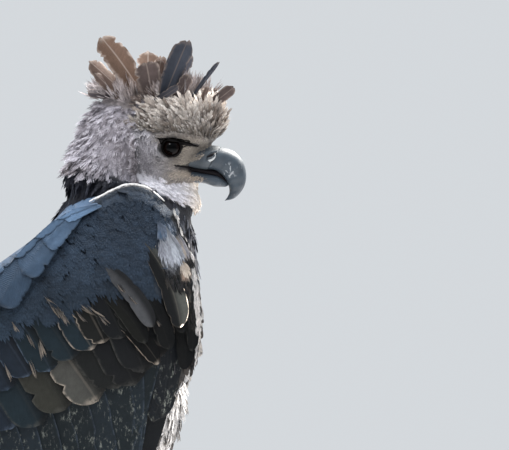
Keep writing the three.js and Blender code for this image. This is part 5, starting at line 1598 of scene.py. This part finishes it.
upper = bladeShell(bill["ridge"], bill["edge"], bill["half"], 48, 110)
cutAtCere(upper, True)
hornTree = BVHTree.FromBMesh(upper)
finishPiece(upper, "upperBill", billHorn, ("upper_bill",))
cere = shapeCere()
cereTree = BVHTree.FromBMesh(cere)
finishPiece(cere, "cereSkinPiece", cereSkin, ("cere",))
lower = bladeShell(bill["jawTop"], bill["jawLow"], bill["jawHalf"], 40, 60)
finishPiece(lower, "lowerBill", billHorn, ("lower_bill",))
# painted shade: a dark sheet in the gap under the upper bill
mouth = bladeShell(bill["mouthTop"], [(x, z - 2) for x, z in bill["jawTop"]], bill["mouthHalf"], 24, 40)
finishPiece(mouth, "mouthInside", mouthShade)


# painted shadow in the crease at the mouth's corner
def layGape(side):  # the dark line of the mouth's corner
    line = [(x, side * (skinSide(x, z, side) - 0.2), z) for x, z in bill["gape"]]
    return limbShell(line, bill["gapeRadius"], 10, 24, wide=1.2)


def cereLine(spots, side, radii, below):  # a thin limb that lies on the cere
    line = []
    for x, z in spots:
        hits = [tree.ray_cast(Vector((x, -200, z - d)), Vector((0, 1, 0)))[0] for tree in (cereTree, hornTree)
                for d in (0, below)]
        line.append((x, side * max(abs(hit.y) for hit in hits if hit), z))
    return limbShell(line, radii, 10, 20, wide=0.6)


for side, name in ((-1, "right"), (1, "left")):
    # the dark slit is painted shade in the nostril's hole
    nostril = cereLine(bill["nostrilLine"], side, bill["nostrilRadius"], 4.5)
    finishPiece(nostril, "nostril." + name, mouthShade)
    finishPiece(layGape(side), "gape." + name, mouthShade)
    # painted highlight: a near-white rim on the nostril's lit inner edge
    nostrilRimHighlight = cereLine(bill["rimLine"], side, bill["rimRadius"], 2.5)
    finishPiece(nostrilRimHighlight, "nostrilRimHighlight." + name, nostrilHighlightLook)


def eyeMaterial():
    material, tree, surface = newMaterial("darkEye", Roughness=0.06, Specular_IOR_Level=0.1)
    iris = blendColour(tree, objectNoise(tree, 900.0, 3.0, 0.6), rgba(26, 17, 14), rgba(10, 7, 6))
    pupil = smoothMask(tree, farFrom(tree, eye["at"][0], eye["at"][2]), eye["pupil"], eye["pupil"] - 0.0005)
    dress(tree, surface, blendColour(tree, pupil, iris, rgba(5, 5, 5)))
    return material


def layEyeball(side):
    bm, points = ball(48, 32)
    x, y, z = eye["at"]
    return reshape(bm, points * eye["radius"] + [x, y * side, z])


# the lids' wide dark corner towards the bill is painted shadow under the brow
def layLids(side):  # bare lids over the eyeball: a straight dark brow line above, a narrow rim below
    bm = bmesh.new()
    bmesh.ops.create_grid(bm, x_segments=96, y_segments=12, size=1)
    cx, cy, cz = eye["at"]
    for vert in bm.verts:
        turn, s = (vert.co.x + 1) * math.pi, (vert.co.y + 1) / 2
        cos, sin = math.cos(turn), math.sin(turn)
        inner = 1 / math.hypot(cos / eye["open"][0], sin / eye["open"][1])
        slope = sin + eye["browFall"] * cos
        if slope > 0.05:
            inner = min(inner, eye["browHigh"] / slope)
        outer = float(lineAt(eye["lidReach"], math.degrees(turn) % 360))
        reach = mix(inner, max(outer, inner + 1.2), s)
        dx, dz = reach * cos, reach * sin
        radius = eye["radius"] + eye["lidOver"]
        dome = cy + math.sqrt(max(0, radius**2 - dx * dx - dz * dz))
        edge = skinSide(cx + dx, cz + dz, side) + 0.5
        y = mix(dome, edge, float(ramp(np.array(s), 0.45, 1.0)))
        y += 0.3 * math.sin(s * 15) * (1 - s) + (1.3 if sin > 0.2 else 0.3) * math.exp(-(s / 0.15) ** 2)
        vert.co = (cx + dx, side * y, cz + dz)
    bmesh.ops.remove_doubles(bm, verts=bm.verts, dist=0.02)
    return bm


# dark skin along the brow, thickened right of the eye into a painted shadow under the overhang
def layBrow(side):  # the dark overhanging edge of the brow
    line = [(x, side * (skinSide(x, z, side) + 0.6), z) for x, z in eye["brow"]]
    return limbShell(line, eye["browRadius"], 10, 40, wide=1.3, rounding=0.03)


eyeLook = eyeMaterial()
for side, name in ((-1, "right"), (1, "left")):
    finishPiece(layEyeball(side), "eyeball." + name, eyeLook, ("eye_" + name,))
for side, name in ((-1, "right"), (1, "left")):
    finishPiece(layBrow(side), "brow." + name, lidSkinAndShade)
    lids = finishPiece(layLids(side), "lids." + name, lidSkinAndShade)
    wall = lids.modifiers.new("wall", "SOLIDIFY")
    wall.thickness = eye["lidThick"]
    wall.offset = 0
print("bill and eyes made")

legs = {  # toes: turn from straight ahead in degrees, length, thickness, and the claw's length and height
    "tarsus": [(46, 48, 178), (41, 48, 146), (50, 49, 90), (60, 50, 34), (62, 50, 16)],
    "tarsusRadius": [11, 14, 11.5, 12.5, 13], "foot": (60, 50), "voxel": 1.3, "smoothing": 3,
    "toes": {"middle": (4, 84, 10.5, 44, 14), "inner": (24, 58, 11, 52, 18), "outer": (-34, 64, 9.5, 38, 12),
             "hind": (172, 46, 12, 66, 27)},
}


def legMaterial():
    material, tree, surface = newMaterial("yellowScales", Roughness=0.55)
    spread = {"Vector": objectSpot(tree), "Scale": 260.0}
    cells = addNode(tree, "ShaderNodeTexVoronoi", spread, feature="DISTANCE_TO_EDGE")
    seam = smoothMask(tree, cells.outputs["Distance"], 0.0, 0.12)
    colour = blendColour(tree, objectNoise(tree, 60.0, 4.0, 0.6), rgba(206, 170, 72), rgba(150, 122, 60))
    colour = blendColour(tree, reckon(tree, "SUBTRACT", 1.0, seam), colour, rgba(96, 74, 38))
    dress(tree, surface, colour, seam, 0.6, 0.0008)
    return material


def layLeg(side, name):
    shells = [limbShell([(x, y * side, z) for x, y, z in legs["tarsus"]], legs["tarsusRadius"])]
    centre = np.array([legs["foot"][0], side * legs["foot"][1], 0])
    for toe, (turn, length, r, claw, clawHigh) in legs["toes"].items():
        way = np.array([math.cos(math.radians(turn)), -side * math.sin(math.radians(turn)), 0])
        rises = [(-9, 17), (length * 0.3, 15), (length * 0.65, r - 1.2), (length, r - 1)]
        spots = [centre + way * a + up * b for a, b in rises]
        shells.append(limbShell(spots, [r * 1.1, r, r * 1.04, r * 0.85], 20, 20))
        rises = [(-9, r), (claw * 0.2, r + clawHigh * 0.62), (claw * 0.62, r + clawHigh * 0.42), (claw * 0.9, 2.4)]
        spots = [centre + way * (length + a) + up * b for a, b in rises]
        k = r * 0.62
        shell = limbShell(spots, [k, k, k * 0.62, 0.9], 20, 28, wide=0.8, rounding=0.06)
        finishPiece(shell, f"claw.{toe}.{name}", clawHorn, (f"claw_{toe}_{name}",))
    mesh, points = meltTogether(shells, legs["voxel"], legs["smoothing"])
    points[:, 2] = np.maximum(points[:, 2], 0)
    moveTo(mesh, place(points))
    mesh.shade_smooth()
    hang(mesh, "leg." + name, scaleLook, ("tarsus_" + name, "foot_" + name))


scaleLook = legMaterial()
layLeg(-1, "right")
layLeg(1, "left")
print("legs made")

print("scene ready")
